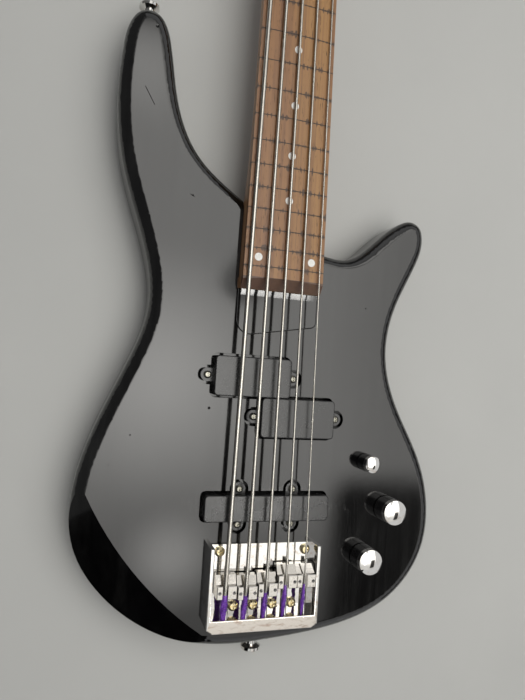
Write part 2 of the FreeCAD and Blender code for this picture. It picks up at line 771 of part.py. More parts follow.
def head_blank():
    points = [V(x * HEAD_HALF_WIDTH, SCALE_LENGTH + y * HEAD_LENGTH, HEAD_BOTTOM)
              for x, y in HEAD_OUTLINE_SHARES]
    curve = Part.BSplineCurve()
    curve.interpolate(points)
    rim = Part.Wire([curve.toShape(), Part.makeLine(points[-1], points[0])])
    blank = Part.Face(rim).extrude(UP * HEAD_THICKNESS)
    rims = [e for e in blank.Edges if e.BoundBox.ZLength < SEAT_GAP and e.BoundBox.YLength > HEAD_LENGTH / 2]
    return blank.makeFillet(HEAD_EDGE_ROUND, rims)


def truss_line():
    z = BOARD_BOTTOM - TRUSS_ROD_DROP
    return V(0, BOARD_END + BOARD_BEVEL, z), V(0, TRUSS_POCKET_START + TRUSS_NUT_LENGTH, z)


def make_neck():
    heel = heel_outline(0, BOARD_END)
    heel = heel.common(box(-BOARD_END_WIDTH, BOARD_END_WIDTH, 0, BOARD_END, 0, HEEL_TOP - POCKET_FLOOR))
    heel.translate(UP * POCKET_FLOOR)
    near = board_width(BOARD_START) / 2
    far = board_width(HEEL_BLOCK_END) / 2
    block = prism([(-near, BOARD_START), (near, BOARD_START), (far, HEEL_BLOCK_END), (-far, HEEL_BLOCK_END)],
                  POCKET_FLOOR, BOARD_BOTTOM)
    sections = []
    for share, depth, roundness in zip(HEEL_SECTION_PLACES_SHARES, HEEL_DEPTHS, HEEL_ROUNDNESS):
        y = share * SCALE_LENGTH
        sections.append(neck_section(y, board_width(y), depth, roundness))
    shoulder = Part.makeLoft(sections, True, False)
    last = THROAT_START_SHARE * SCALE_LENGTH
    slim = neck_section(last, board_width(last), NUT_END_DEPTH, HEEL_ROUNDNESS[-1])
    shaft = Part.makeLoft([sections[-1], slim], True, True)
    head_start = NUT_END + SCOOP_RADIUS
    broad = neck_section(head_start, NUT_WIDTH, BOARD_BOTTOM - HEAD_BOTTOM, NUT_BLOCK_ROUNDNESS)
    throat = Part.makeLoft([slim, broad], True, True)
    neck = fused([block, heel, shoulder, shaft, throat, head_blank()])
    scoop = rod(V(-NUT_WIDTH, head_start, HEAD_TOP + SCOOP_RADIUS),
                V(NUT_WIDTH, head_start, HEAD_TOP + SCOOP_RADIUS), SCOOP_RADIUS)
    clear = box(-NUT_WIDTH, NUT_WIDTH, head_start, head_start + HEAD_LENGTH, HEAD_TOP, BOARD_TOP)
    cuts = [scoop, clear]
    rod_start, rod_end = truss_line()
    cuts.append(rod(rod_start, rod_end, TRUSS_ROD_RADIUS + SEAT_GAP))
    half = TRUSS_POCKET_WIDTH / 2
    cuts.append(box(-half, half, TRUSS_POCKET_START, TRUSS_POCKET_START + TRUSS_POCKET_LENGTH,
                    HEAD_TOP - TRUSS_POCKET_DEPTH, HEAD_TOP + OVERRUN))
    for string in STRINGS:
        place = post_place(string)
        cuts.append(rod(place + UP * (HEAD_BOTTOM - OVERRUN), place + UP * (HEAD_TOP + OVERRUN),
                        BUSHING_RADIUS + SEAT_GAP))
    for place in tuner_screw_places():
        cuts.append(screw_hole(place, UP, TUNER_SCREW))
    for place in truss_cover_screw_places():
        cuts.append(screw_hole(place, DOWN, COVER_SCREW))
    for x, y in neck_screw_places():
        cuts.append(rod(V(x, y, 0), V(x, y, neck_screw_tip() + SCREW_GAP), NECK_SCREW_RADIUS + SCREW_GAP))
    for cut in cuts:
        neck = neck.cut(cut)
    return neck.removeSplitter()


def neck_screw_tip():
    return POCKET_FLOOR + NECK_SCREW_BITE


def make_heel_cap():
    cap = heel_outline(0, BOARD_START - SEAT_GAP)
    slab = box(-BOARD_END_WIDTH, BOARD_END_WIDTH, 0, BOARD_END, 0, CAP_THICKNESS)
    cap = cap.common(slab)
    cap.translate(UP * HEEL_TOP)
    end = BOARD_START - SEAT_GAP
    rim = [e for e in cap.Edges if e.BoundBox.ZMin > CAP_TOP - SEAT_GAP and e.BoundBox.YMin < end - SEAT_GAP]
    cap = cap.makeFillet(CAP_EDGE_ROUND, rim)
    half = CAP_HALF_WIDTH - CAP_EDGE_ROUND
    rise = [(end - CAP_RAMP_LENGTH, HEEL_TOP), (end - CAP_RAMP_LENGTH, CAP_TOP), (end, CAP_TOP + CAP_RAMP_RISE),
            (end, HEEL_TOP)]
    return cap.fuse(side_prism(rise, -half, half)).removeSplitter()


def make_nut():
    half = NUT_WIDTH / 2
    base_z = BOARD_BOTTOM
    top_mid = BOARD_TOP + NUT_PROUD
    top_side = top_mid - crown_drop(half)
    foot = Part.makePolygon([V(half, SCALE_LENGTH, top_side), V(half, SCALE_LENGTH, base_z),
                             V(-half, SCALE_LENGTH, base_z), V(-half, SCALE_LENGTH, top_side)])
    crown = Part.Arc(V(-half, SCALE_LENGTH, top_side), V(0, SCALE_LENGTH, top_mid),
                     V(half, SCALE_LENGTH, top_side)).toShape()
    nut = Part.Face(Part.Wire(foot.Edges + [crown])).extrude(ALONG * NUT_LENGTH)
    for string in STRINGS:
        radius = string_radius(string) + STRING_GAP
        x = nut_x(string)
        z = nut_string_z(string)
        lead = NUT_LENGTH * math.tan(math.radians(nut_break_angle(string)))
        floor = z - string_radius(string) - STRING_GAP
        notch = [(SCALE_LENGTH - OVERRUN, floor), (SCALE_LENGTH + NUT_LENGTH / 2, floor),
                 (NUT_END + OVERRUN, floor - lead), (NUT_END + OVERRUN, top_mid + OVERRUN),
                 (SCALE_LENGTH - OVERRUN, top_mid + OVERRUN)]
        nut = nut.cut(side_prism(notch, x - radius, x + radius))
    return nut


# Strings

def winding_start_z(string):
    waist_foot = HEAD_TOP + BUSHING_FLANGE_HEIGHT + STRING_GAP + POST_FLANGE_HEIGHT
    return waist_foot + 2 * STRING_GAP + string_radius(string)


def nut_break_angle(string):
    reach = post_reach(string) - NUT_LENGTH / 2
    return math.degrees(math.atan2(nut_string_z(string) - winding_start_z(string), reach))


def arc_through(start, heading, end):
    """Arc that leaves start along heading and ends at end."""
    chord = end - start
    half = chord.Length / 2
    turn = heading.getAngle(chord)
    sag = half * math.tan(turn / 2)
    side = (heading * (chord.Length / math.cos(turn)) - chord).normalize() if turn > 1e-6 else heading
    return Part.Arc(start, start + chord / 2 + side * sag, end).toShape()


def biarc(start, start_heading, end, end_heading):
    """Two arcs in space that join smoothly and keep the headings at both ends."""
    gap = end - start
    both = start_heading + end_heading
    a = both.dot(both) - 4
    b = -2 * gap.dot(both)
    c = gap.dot(gap)
    reach = (-b - math.sqrt(b * b - 4 * a * c)) / (2 * a)
    middle = (start + start_heading * reach + end - end_heading * reach) / 2
    first = arc_through(start, start_heading, middle)
    second = arc_through(end, end_heading * -1, middle)
    return [first, second.reversed()]


def winding_point(string, turns):
    """Point and heading on the winding after so many turns from where the string meets the post."""
    post = post_place(string)
    radius = winding_radius(string)
    step = STRING_DIAMETERS[string] + WINDING_STEP_GAP
    meet = post_tangent(string) - post
    spin = -POST_SIDES[string] * 2 * math.pi * turns
    turned_x = meet.x * math.cos(spin) - meet.y * math.sin(spin)
    turned_y = meet.x * math.sin(spin) + meet.y * math.cos(spin)
    point = V(post.x + turned_x, post.y + turned_y, winding_start_z(string) + step * turns)
    across = V(-turned_y, turned_x, 0) * (-POST_SIDES[string] / radius)
    heading = (across + UP * (step / (2 * math.pi * radius))).normalize()
    return point, heading


def string_knots(string):
    """Ball end, saddle, nut and post: the corners of the string's straight runs."""
    hole = V(string_x(string), BALL_POCKET_DEPTH - TRAY_REAR, TOP + STRING_HOLE_RISE)
    saddle = V(string_x(string), -SADDLE_SETBACKS[string] - SADDLE_CONTACT_INSET, saddle_string_z(string))
    heading = string_heading(string)
    nut = V(nut_x(string), SCALE_LENGTH, 0) + heading * (NUT_LENGTH / 2 / heading.y)
    nut.z = nut_string_z(string)
    meet = post_tangent(string)
    meet.z = winding_start_z(string)
    return hole, saddle, nut, meet


def bend(before, corner, after, radius):
    """Tangent arc of the given radius at a corner, with its two ends."""
    back = (before - corner).normalize()
    on = (after - corner).normalize()
    half = (math.pi - back.getAngle(on)) / 2
    reach = radius * math.tan(half)
    first = corner + back * reach
    last = corner + on * reach
    inward = (back + on).normalize()
    middle = corner + inward * (radius / math.cos(half) - radius)
    return first, Part.Arc(first, middle, last).toShape(), last


def string_path(string):
    hole, saddle, nut, meet = string_knots(string)
    first, over_saddle, second = bend(hole, saddle, nut, SADDLE_BEND_RADIUS)
    third, over_nut, fourth = bend(saddle, nut, meet, NUT_BEND_RADIUS)
    edges = [Part.makeLine(hole, first), over_saddle, Part.makeLine(second, third), over_nut,
             Part.makeLine(fourth, meet)]
    point = meet
    heading = (meet - fourth).normalize()
    for quarter in range(1, int(4 * WINDING_TURNS[string]) + 1):
        next_point, next_heading = winding_point(string, quarter / 4)
        edges += biarc(point, heading, next_point, next_heading)
        point = next_point
        heading = next_heading
    edges.append(Part.makeLine(point, point + heading * STRING_DIAMETERS[string]))
    return Part.Wire(edges)


def make_string(string):
    path = string_path(string)
    hole, saddle, nut, meet = string_knots(string)
    heading = (saddle - hole).normalize()
    section = Part.Wire(Part.Circle(hole, heading, string_radius(string)).toShape())
    tube = path.makePipeShell([section], True, False)
    ideal = math.pi * string_radius(string) ** 2 * path.Length
    marks = int(WINDING_MARKS * WINDING_TURNS[string])
    turns = [winding_point(string, k / WINDING_MARKS)[0] for k in range(marks + 1)]
    gaps = [(a - b).Length for k, a in enumerate(turns) for b in turns[k + WINDING_MARKS * 3 // 4:]]
    clear = min(gaps) - STRING_DIAMETERS[string]
    print("string", string + 1, "volume share", round(tube.Volume / ideal, 4), "least gap", round(clear, 2))
    face = hole + BACKWARD * (SEAT_GAP + string_radius(string) * heading.z)
    ball = rod(face + BACKWARD * BALL_LENGTH, face, BALL_RADIUS)
    return Part.makeCompound([tube, ball])


# Bridge

def make_tray():
    half = TRAY_HALF_WIDTH
    top = TOP + TRAY_WALL_HEIGHT
    shoulder = TRAY_CHAMFER_DEPTH - TRAY_REAR
    tail = half - TRAY_CHAMFER_WIDTH
    plan = [(-half, TRAY_FRONT), (-half, shoulder), (-tail, -TRAY_REAR), (tail, -TRAY_REAR), (half, shoulder),
            (half, TRAY_FRONT)]
    tray = prism(plan, TOP, top)
    well = box(TRAY_WALL - half, half - TRAY_WALL, TRAY_REAR_WALL - TRAY_REAR, TRAY_FRONT + OVERRUN,
               TRAY_TOP, top + OVERRUN)
    tray = tray.cut(well)
    rim = [e for e in tray.Edges if e.BoundBox.ZMin > top - SEAT_GAP]
    tray = tray.makeFillet(TRAY_EDGE_ROUND, rim)
    for place in tray_screw_places():
        tray = tray.cut(screw_hole(place, DOWN, BRIDGE_SCREW))
    for string in STRINGS:
        hole = string_knots(string)[0]
        outside = V(hole.x, -TRAY_REAR - OVERRUN, hole.z)
        tray = tray.cut(rod(outside, hole, BALL_RADIUS + BALL_POCKET_GAP))
        slope = string_heading_at_hole(string)
        tray = tray.cut(rod(hole - slope * OVERRUN, hole + slope * TRAY_REAR_WALL, STRING_HOLE_RADIUS))
        start = intonation_line(string)[0]
        inside = start + ALONG * (TRAY_REAR_WALL + 2 * OVERRUN)
        tray = tray.cut(rod(start, inside, INTONATION_RADIUS + RUNNING_GAP))
    return tray


def string_heading_at_hole(string):
    hole, saddle, nut, meet = string_knots(string)
    return (saddle - hole).normalize()


def intonation_line(string):
    x = string_x(string) + INTONATION_OFFSET
    z = TOP + INTONATION_RISE
    front = SADDLE_RAMP_LENGTH + INTONATION_FRONT_REACH - SADDLE_SETBACKS[string]
    return V(x, -TRAY_REAR - SEAT_GAP, z), V(x, front, z)


def make_intonation_screw(string):
    start, end = intonation_line(string)
    shank = rod(start, end, INTONATION_RADIUS)
    back = start + BACKWARD * INTONATION_HEAD_LENGTH
    head = rod(back, start, INTONATION_HEAD_RADIUS)
    whole = shank.fuse(head).removeSplitter()
    return whole.cut(cross_recess(back, ALONG, INTONATION_HEAD_RADIUS, INTONATION_HEAD_LENGTH))


def make_saddle(string):
    x0 = string_x(string) - SADDLE_STRING_INSET
    front = -SADDLE_SETBACKS[string]
    rear = front - SADDLE_BLOCK_LENGTH
    nose = front + SADDLE_RAMP_LENGTH
    string_z = saddle_string_z(string)
    radius = string_radius(string)
    foot = string_z - SADDLE_STRING_HEIGHT
    top = string_z + SADDLE_TOP_ABOVE_STRING
    ramp_top = string_z - radius - SADDLE_STEP
    side = [(nose, foot), (nose, foot + SADDLE_FRONT_HEIGHT), (front, ramp_top), (front, top), (rear, top),
            (rear, foot)]
    block = side_prism(side, x0, x0 + SADDLE_WIDTH)
    rim = [e for e in block.Edges if e.BoundBox.ZMin > top - SEAT_GAP]
    block = block.makeChamfer(SADDLE_EDGE_CHAMFER, rim)
    fall = string_heading_at_hole(string)
    floor = string_z - radius - STRING_GAP
    drop = SADDLE_BLOCK_LENGTH * fall.z / fall.y
    slot = [(front + OVERRUN, floor), (front - SADDLE_CONTACT_INSET, floor), (rear - OVERRUN, floor - drop),
            (rear - OVERRUN, top + OVERRUN), (front + OVERRUN, top + OVERRUN)]
    half = SADDLE_SLOT_WIDTH / 2
    block = block.cut(side_prism(slot, string_x(string) - half, string_x(string) + half))
    start = intonation_line(string)[0]
    block = block.cut(rod(start, start + ALONG * (2 * THROUGH), INTONATION_RADIUS + RUNNING_GAP))
    grubs = []
    for share in GRUB_OFFSETS_SHARES:
        base = V(string_x(string) + share * SADDLE_WIDTH, (front + rear) / 2, TRAY_TOP + SEAT_GAP)
        height = top - GRUB_SINK - base.z
        block = block.cut(rod(base, base + UP * THROUGH, GRUB_RADIUS + SCREW_GAP))
        socket_foot = base + UP * (height - GRUB_HEX_DEPTH)
        socket = regular_prism(socket_foot, GRUB_HEX_SIZE, HEX_SIDES, GRUB_HEX_DEPTH + OVERRUN)
        grubs.append(rod(base, base + UP * height, GRUB_RADIUS).cut(socket))
    return Part.makeCompound([block] + grubs)


# Pickups

def make_pickup_cover(layout):
    shell = pickup_block(layout, 0, TOP - PICKUP_SKIRT, TOP + PICKUP_RISE)
    shell = round_edges_at(shell, TOP + PICKUP_RISE, PICKUP_EDGE_ROUND)
    ear_top = TOP - EAR_DROP
    for place, toward in layout[3]:
        shell = shell.fuse(ear_shape(place, toward, EAR_RADIUS, ear_top - EAR_THICKNESS, ear_top))
    shell = shell.cut(pickup_block(layout, -PICKUP_WALL, TOP - PICKUP_SKIRT - OVERRUN,
                                   TOP + PICKUP_RISE - PICKUP_WALL))
    for place, toward in layout[3]:
        shell = shell.cut(screw_hole(V(place.x, place.y, ear_top), DOWN, PICKUP_SCREW))
    return shell.removeSplitter()


def make_pickup_insides(layout):
    """Coil, magnet and the foam that carries them, for one pickup."""
    foam_top = TOP - PICKUP_SKIRT
    foam = pickup_block(layout, -PICKUP_WALL - SEAT_GAP, TOP - ROUT_DEPTH, foam_top)
    outer = pickup_block(layout, -COIL_INSET, foam_top, foam_top + COIL_HEIGHT)
    core_inset = COIL_INSET + COIL_THICKNESS
    centre, length, width, ears = layout
    half_x = length / 2 - core_inset
    half_y = width / 2 - core_inset
    inner = box(centre.x - half_x, centre.x + half_x, centre.y - half_y, centre.y + half_y,
                foam_top - OVERRUN, foam_top + COIL_HEIGHT + OVERRUN)
    grip = SEAT_GAP
    magnet = box(centre.x - half_x + grip, centre.x + half_x - grip, centre.y - half_y + grip,
                 centre.y + half_y - grip, foam_top, foam_top + MAGNET_HEIGHT)
    return outer.cut(inner), magnet, foam


# Controls

def make_knob(knob):
    """Barrel, domed cap and the control shaft that carries them, as three solids."""
    place = knob_place(knob)
    radius = KNOB_RADII[knob]
    foot = TOP + KNOB_LIFT
    top = TOP + KNOB_HEIGHTS[knob]
    cap_foot = top - KNOB_HEIGHTS[knob] * KNOB_CAP_SHARE
    shaft_top = TOP + KNOB_HEIGHTS[knob] * POT_SHAFT_TOP_SHARE
    dome = KNOB_HEIGHTS[knob] * KNOB_DOME_SHARE
    hollow_top = foot + KNOB_HOLLOW_HEIGHT
    barrel = turned([(KNOB_HOLLOW_RADIUS, foot), (radius, foot), (radius, cap_foot), (0, cap_foot),
                     (0, shaft_top), (POT_SHAFT_RADIUS, shaft_top), (POT_SHAFT_RADIUS, hollow_top),
                     (KNOB_HOLLOW_RADIUS, hollow_top)], place, UP)
    cap_radius = radius - KNOB_CAP_INSET
    rim = V(cap_radius, 0, top - dome)
    crest = V(0, 0, top)
    sphere = (cap_radius ** 2 + dome ** 2) / (2 * dome)
    shoulder_x = cap_radius / 2
    shoulder = V(shoulder_x, 0, top - sphere + math.sqrt(sphere ** 2 - shoulder_x ** 2))
    edges = [Part.Arc(rim, shoulder, crest).toShape(), Part.makeLine(crest, V(0, 0, cap_foot)),
             Part.makeLine(V(0, 0, cap_foot), V(cap_radius, 0, cap_foot)),
             Part.makeLine(V(cap_radius, 0, cap_foot), rim)]
    cap = Part.Face(Part.Wire(edges)).revolve(V(0, 0, 0), UP, 360)
    cap.translate(place)
    shaft_foot = TOP - CAVITY_ROOF - POT_CAN_HEIGHT / 2
    shaft = rod(place + UP * shaft_foot, place + UP * shaft_top, POT_SHAFT_RADIUS)
    return Part.makeCompound([barrel, cap, shaft])


def make_potentiometer(knob):
    place = knob_place(knob)
    roof = TOP - CAVITY_ROOF
    can = rod(place + UP * (roof - POT_CAN_HEIGHT), place + UP * roof, POT_CAN_RADIUS)
    bushing = rod(place + UP * roof, place + UP * (TOP + CONTROL_NUT_HEIGHT), POT_BUSHING_RADIUS)
    bore_foot = place + UP * (roof - POT_CAN_HEIGHT / 2 - SEAT_GAP)
    bore = rod(bore_foot, bore_foot + UP * THROUGH, POT_SHAFT_RADIUS + RUNNING_GAP)
    return can.fuse(bushing).cut(bore).removeSplitter()


def make_control_nut(knob):
    place = knob_place(knob) + UP * TOP
    nut = regular_prism(place, CONTROL_NUT_RADIUS, HEX_SIDES, CONTROL_NUT_HEIGHT)
    return nut.cut(rod(place - UP * OVERRUN, place + UP * (CONTROL_NUT_HEIGHT + OVERRUN),
                       POT_BUSHING_RADIUS + SEAT_GAP))


def make_control_cover():
    plate = rounded_box(*cavity_bounds(COVER_LEDGE - SEAT_GAP), 0, COVER_THICKNESS,
                        CAVITY_CORNER + COVER_LEDGE - SEAT_GAP)
    for place in cover_screw_places():
        plate = plate.cut(screw_hole(place, UP, COVER_SCREW))
        plate = plate.cut(rod(V(place.x, place.y, -OVERRUN), place, COVER_SCREW[0] + SEAT_GAP))
    return plate


def make_jack():
    """Flanged barrel through the edge of the body, with its nut inside the control cavity."""
    seat = jack_seat()
    wall = V(cavity_bounds(0)[1], seat.y, seat.z)
    inner = wall + LEFT * JACK_REACH_IN
    mouth = seat + RIGHT * JACK_FLANGE_HEIGHT
    flange = rod(seat, mouth, JACK_FLANGE_RADIUS)
    barrel = rod(inner, seat, JACK_BARREL_RADIUS)
    bore = rod(inner + LEFT * OVERRUN, mouth + RIGHT * OVERRUN, JACK_BORE_RADIUS)
    socket = flange.fuse(barrel).cut(bore).removeSplitter()
    ring = rod(wall + LEFT * JACK_NUT_HEIGHT, wall, JACK_NUT_RADIUS)
    ring = ring.cut(rod(inner, seat, JACK_BARREL_RADIUS + SEAT_GAP))
    return Part.makeCompound([socket, ring])


def channel_runs():
    """Drillings that carry the wires: split pickups to bridge pickup, and on to the controls."""
    z = TOP - ROUT_DEPTH + CHANNEL_RISE
    split = split_places()[1] + UP * z
    bar = V(split.x, pickup_place(BAR_PLACE_SHARES).y, z)
    controls = V(knob_place(1).x, bar.y, z)
    return [(split, bar), (bar, controls)]


def make_wiring():
    drop = CHANNEL_RADIUS - WIRE_RADIUS - SEAT_GAP
    wires = []
    split, bar = channel_runs()[0]
    controls = channel_runs()[1][1]
    low = DOWN * drop
    start = split + BACKWARD * (SPLIT_WIDTH / 2 - PICKUP_WALL) + low
    end = bar + ALONG * (BAR_WIDTH / 2 - PICKUP_WALL) + low
    wires.append(rod(start, end, WIRE_RADIUS))
    start = V(pickup_place(BAR_PLACE_SHARES).x + BAR_LENGTH / 2 - PICKUP_WALL, bar.y, bar.z) + low
    end = V(cavity_bounds(0)[0] + CAVITY_MARGIN, controls.y, controls.z) + low
    wires.append(rod(start, end, WIRE_RADIUS))
    return Part.makeCompound(wires)


# Fittings

def make_strap_button(seat, outward):
    top = STRAP_HEIGHT - STRAP_FLANGE_HEIGHT
    screw_seat = STRAP_HEIGHT - STRAP_SCREW_HEAD_HEIGHT
    head = STRAP_SCREW_HEAD_RADIUS + SEAT_GAP
    hole = STRAP_SCREW_RADIUS + SCREW_GAP
    profile = [(hole, 0), (STRAP_BASE_RADIUS, 0), (STRAP_BASE_RADIUS, STRAP_BASE_HEIGHT),
               (STRAP_WAIST_RADIUS, STRAP_BASE_HEIGHT * 2), (STRAP_WAIST_RADIUS, top - STRAP_BASE_HEIGHT),
               (STRAP_FLANGE_RADIUS, top), (STRAP_FLANGE_RADIUS, STRAP_HEIGHT - STRAP_BASE_HEIGHT / 2),
               (STRAP_FLANGE_RADIUS - STRAP_BASE_HEIGHT / 2, STRAP_HEIGHT), (head, STRAP_HEIGHT),
               (head, screw_seat), (hole, screw_seat)]
    return turned(profile, seat, outward)


def make_strap_screw(seat, outward):
    head_seat = seat + outward * (STRAP_HEIGHT - STRAP_SCREW_HEAD_HEIGHT)
    length = STRAP_HEIGHT - STRAP_SCREW_HEAD_HEIGHT + STRAP_SCREW_BITE - SCREW_GAP
    sizes = (STRAP_SCREW_HEAD_RADIUS, STRAP_SCREW_HEAD_HEIGHT, STRAP_SCREW_RADIUS, length)
    return screw(head_seat, outward * -1, sizes)


def make_neck_ferrule(x, y):
    hole = NECK_SCREW_RADIUS + SCREW_GAP
    well = NECK_SCREW_HEAD_RADIUS + SCREW_GAP
    floor = FERRULE_HEIGHT - FERRULE_FLOOR
    profile = [(well, 0), (FERRULE_RADIUS, 0), (FERRULE_RADIUS, FERRULE_HEIGHT), (hole, FERRULE_HEIGHT),
               (hole, floor), (well, floor)]
    return turned(profile, V(x, y, 0), UP)


def make_neck_screw(x, y):
    seat = V(x, y, FERRULE_HEIGHT - FERRULE_FLOOR)
    sizes = (NECK_SCREW_HEAD_RADIUS, NECK_SCREW_HEAD_HEIGHT, NECK_SCREW_RADIUS, neck_screw_tip() - seat.z)
    return screw(seat, UP, sizes)


def truss_cover_screw_places():
    end = SCALE_LENGTH + TRUSS_COVER_START + TRUSS_COVER_LENGTH - TRUSS_COVER_EDGE
    half = TRUSS_COVER_WIDTH / 2 - TRUSS_COVER_EDGE
    z = HEAD_TOP + TRUSS_COVER_THICKNESS
    return [V(-half, TRUSS_POCKET_START, z), V(half, TRUSS_POCKET_START, z), V(0, end, z)]


def make_truss_cover():
    half = TRUSS_COVER_WIDTH / 2
    start = SCALE_LENGTH + TRUSS_COVER_START
    plate = rounded_box(-half, half, start, start + TRUSS_COVER_LENGTH,
                        HEAD_TOP, HEAD_TOP + TRUSS_COVER_THICKNESS, TRUSS_COVER_CORNER)
    for place in truss_cover_screw_places():
        plate = plate.cut(screw_hole(place, DOWN, COVER_SCREW))
    return plate


def make_truss_nut():
    start, end = truss_line()
    foot = end - ALONG * (TRUSS_NUT_LENGTH - RUNNING_GAP)
    nut = rod(foot, end, TRUSS_NUT_RADIUS)
    socket = regular_prism(V(0, 0, 0), TRUSS_HEX_SIZE / 2, HEX_SIDES, TRUSS_HEX_DEPTH + OVERRUN)
    socket.Placement = FreeCAD.Placement(end - ALONG * TRUSS_HEX_DEPTH, FreeCAD.Rotation(UP, ALONG))
    return nut.cut(socket)


def make_truss_rod():
    start, end = truss_line()
    return rod(start, end - ALONG * TRUSS_NUT_LENGTH, TRUSS_ROD_RADIUS)


# Machine heads

def post_foot():
    return HEAD_BOTTOM - POST_SEAT_DEPTH


def make_post(string):
    flange_foot = HEAD_TOP + BUSHING_FLANGE_HEIGHT + STRING_GAP
    waist_foot = flange_foot + POST_FLANGE_HEIGHT
    waist_top = waist_foot + POST_WAIST_HEIGHT
    top = waist_top + POST_FLANGE_HEIGHT
    profile = [(0, post_foot()), (POST_SHAFT_RADIUS, post_foot()), (POST_SHAFT_RADIUS, flange_foot),
               (POST_FLANGE_RADIUS, flange_foot), (POST_WAIST_RADIUS, waist_foot),
               (POST_WAIST_RADIUS, waist_top), (POST_FLANGE_RADIUS, top), (0, top)]
    place = post_place(string)
    post = turned(profile, place, UP)
    half = POST_SLOT_WIDTH / 2
    reach = POST_FLANGE_RADIUS + OVERRUN
    slot = box(place.x - reach, place.x + reach, place.y - half, place.y + half,
               top - POST_SLOT_DEPTH, top + OVERRUN)
    return post.cut(slot)


def make_bushing(string):
    bore = POST_SHAFT_RADIUS + RUNNING_GAP
    profile = [(bore, HEAD_TOP - BUSHING_LENGTH), (BUSHING_RADIUS, HEAD_TOP - BUSHING_LENGTH),
               (BUSHING_RADIUS, HEAD_TOP), (BUSHING_FLANGE_RADIUS, HEAD_TOP),
               (BUSHING_FLANGE_RADIUS, HEAD_TOP + BUSHING_FLANGE_HEIGHT / 2),
               (BUSHING_FLANGE_RADIUS - BUSHING_FLANGE_HEIGHT / 2, HEAD_TOP + BUSHING_FLANGE_HEIGHT),
               (bore, HEAD_TOP + BUSHING_FLANGE_HEIGHT)]
    return turned(profile, post_place(string), UP)


def make_housing(string):
    post = post_place(string)
    side = POST_SIDES[string]
    ends = sorted((post.x - side * HOUSING_INNER_REACH, post.x + side * HOUSING_OUTER_REACH))
    body = box(ends[0], ends[1], post.y - HOUSING_FRONT_REACH, post.y + HOUSING_REAR_REACH,
               HEAD_BOTTOM - HOUSING_HEIGHT, HEAD_BOTTOM)
    rounded = [e for e in body.Edges if e.BoundBox.ZMin < HEAD_BOTTOM - SEAT_GAP]
    body = body.makeFillet(HOUSING_ROUND, rounded)
    well = post + UP * (post_foot() - SEAT_GAP)
    body = body.cut(rod(well, well + UP * THROUGH, POST_SHAFT_RADIUS + RUNNING_GAP))
    out = RIGHT * side
    inner = key_axis_place(string) - out * (HOUSING_INNER_REACH / 2 + SEAT_GAP)
    body = body.cut(rod(inner, inner + out * THROUGH, KEY_SHAFT_RADIUS + RUNNING_GAP))
    for place in tuner_screw_places(string):
        body = body.cut(screw_hole(place, UP, TUNER_SCREW))
    return body


def tuner_screw_places(only=None):
    places = []
    for string in STRINGS if only is None else (only,):
        post = post_place(string)
        side = POST_SIDES[string]
        for across, along in TUNER_SCREW_PLACES_SHARES:
            reach = HOUSING_OUTER_REACH if across > 0 else HOUSING_INNER_REACH
            places.append(V(post.x + side * across * reach, post.y + along * HOUSING_FRONT_REACH,
                            HEAD_BOTTOM - HOUSING_HEIGHT))
    return places


def make_key(string):
    side = POST_SIDES[string]
    axis = key_axis_place(string)
    out = RIGHT * side
    face = axis + out * (HOUSING_OUTER_REACH + RUNNING_GAP)
    button_start = face + out * KEY_BUTTON_START
    centre = button_start + out * (KEY_BUTTON_LENGTH / 2)
    shaft = rod(axis - out * (HOUSING_INNER_REACH / 2), centre, KEY_SHAFT_RADIUS)
    collar = rod(face, face + out * KEY_COLLAR_LENGTH, KEY_COLLAR_RADIUS)
    oval = Part.Ellipse(centre - UP * (KEY_BUTTON_THICKNESS / 2), KEY_BUTTON_LENGTH / 2, KEY_BUTTON_WIDTH / 2)
    button = Part.Face(Part.Wire(oval.toShape())).extrude(UP * KEY_BUTTON_THICKNESS)
    button = button.makeFillet(KEY_BUTTON_ROUND, [e for e in button.Edges if e.BoundBox.ZLength < SEAT_GAP])
    return fused([shaft, collar, button])


# Write every piece

os.makedirs("parts", exist_ok=True)

board = plain_board()
slots = fret_slots()
plugs = dot_plugs()
insides = [make_pickup_insides(layout) for layout in pickup_layouts()]
knobs = range(len(KNOB_RADII))

save("body", make_body())
save("neck", make_neck())
save("fingerboard", board.cut(slots).cut(plugs))
save("fret_lines", board.common(slots))
save("position_dots", board.common(plugs))
save("nut", make_nut())
save("heel_cap", make_heel_cap())
save("neck_screws", Part.makeCompound([make_neck_screw(x, y) for x, y in neck_screw_places()]))
save("neck_ferrules", Part.makeCompound([make_neck_ferrule(x, y) for x, y in neck_screw_places()]))
save("truss_rod", make_truss_rod())
save("truss_rod_nut", make_truss_nut())
save("truss_rod_cover", make_truss_cover())
small_screws = [screw(place, DOWN, COVER_SCREW) for place in truss_cover_screw_places()]
small_screws += [screw(place, UP, COVER_SCREW) for place in cover_screw_places()]
save("cover_screws", Part.makeCompound(small_screws))
save("strap_buttons", Part.makeCompound([make_strap_button(*place) for place in strap_seats()]))
save("strap_button_screws", Part.makeCompound([make_strap_screw(*place) for place in strap_seats()]))
for name, layout in zip(("split_pickup_bass_cover", "split_pickup_treble_cover", "bridge_pickup_cover"),
                        pickup_layouts()):
    save(name, make_pickup_cover(layout))
save("pickup_coils", Part.makeCompound([coil for coil, magnet, foam in insides]))
save("pickup_magnets", Part.makeCompound([magnet for coil, magnet, foam in insides]))
save("pickup_foam", Part.makeCompound([foam for coil, magnet, foam in insides]))
ear_screws = [screw(place, DOWN, PICKUP_SCREW) for place in pickup_screw_places()]
save("pickup_screws", Part.makeCompound(ear_screws))
save("bridge_tray", make_tray())
save("bridge_screws", Part.makeCompound([screw(place, DOWN, BRIDGE_SCREW) for place in tray_screw_places()]))
save("tuner_housings", Part.makeCompound([make_housing(string) for string in STRINGS]))
save("tuner_bushings", Part.makeCompound([make_bushing(string) for string in STRINGS]))
save("tuner_screws", Part.makeCompound([screw(place, UP, TUNER_SCREW) for place in tuner_screw_places()]))
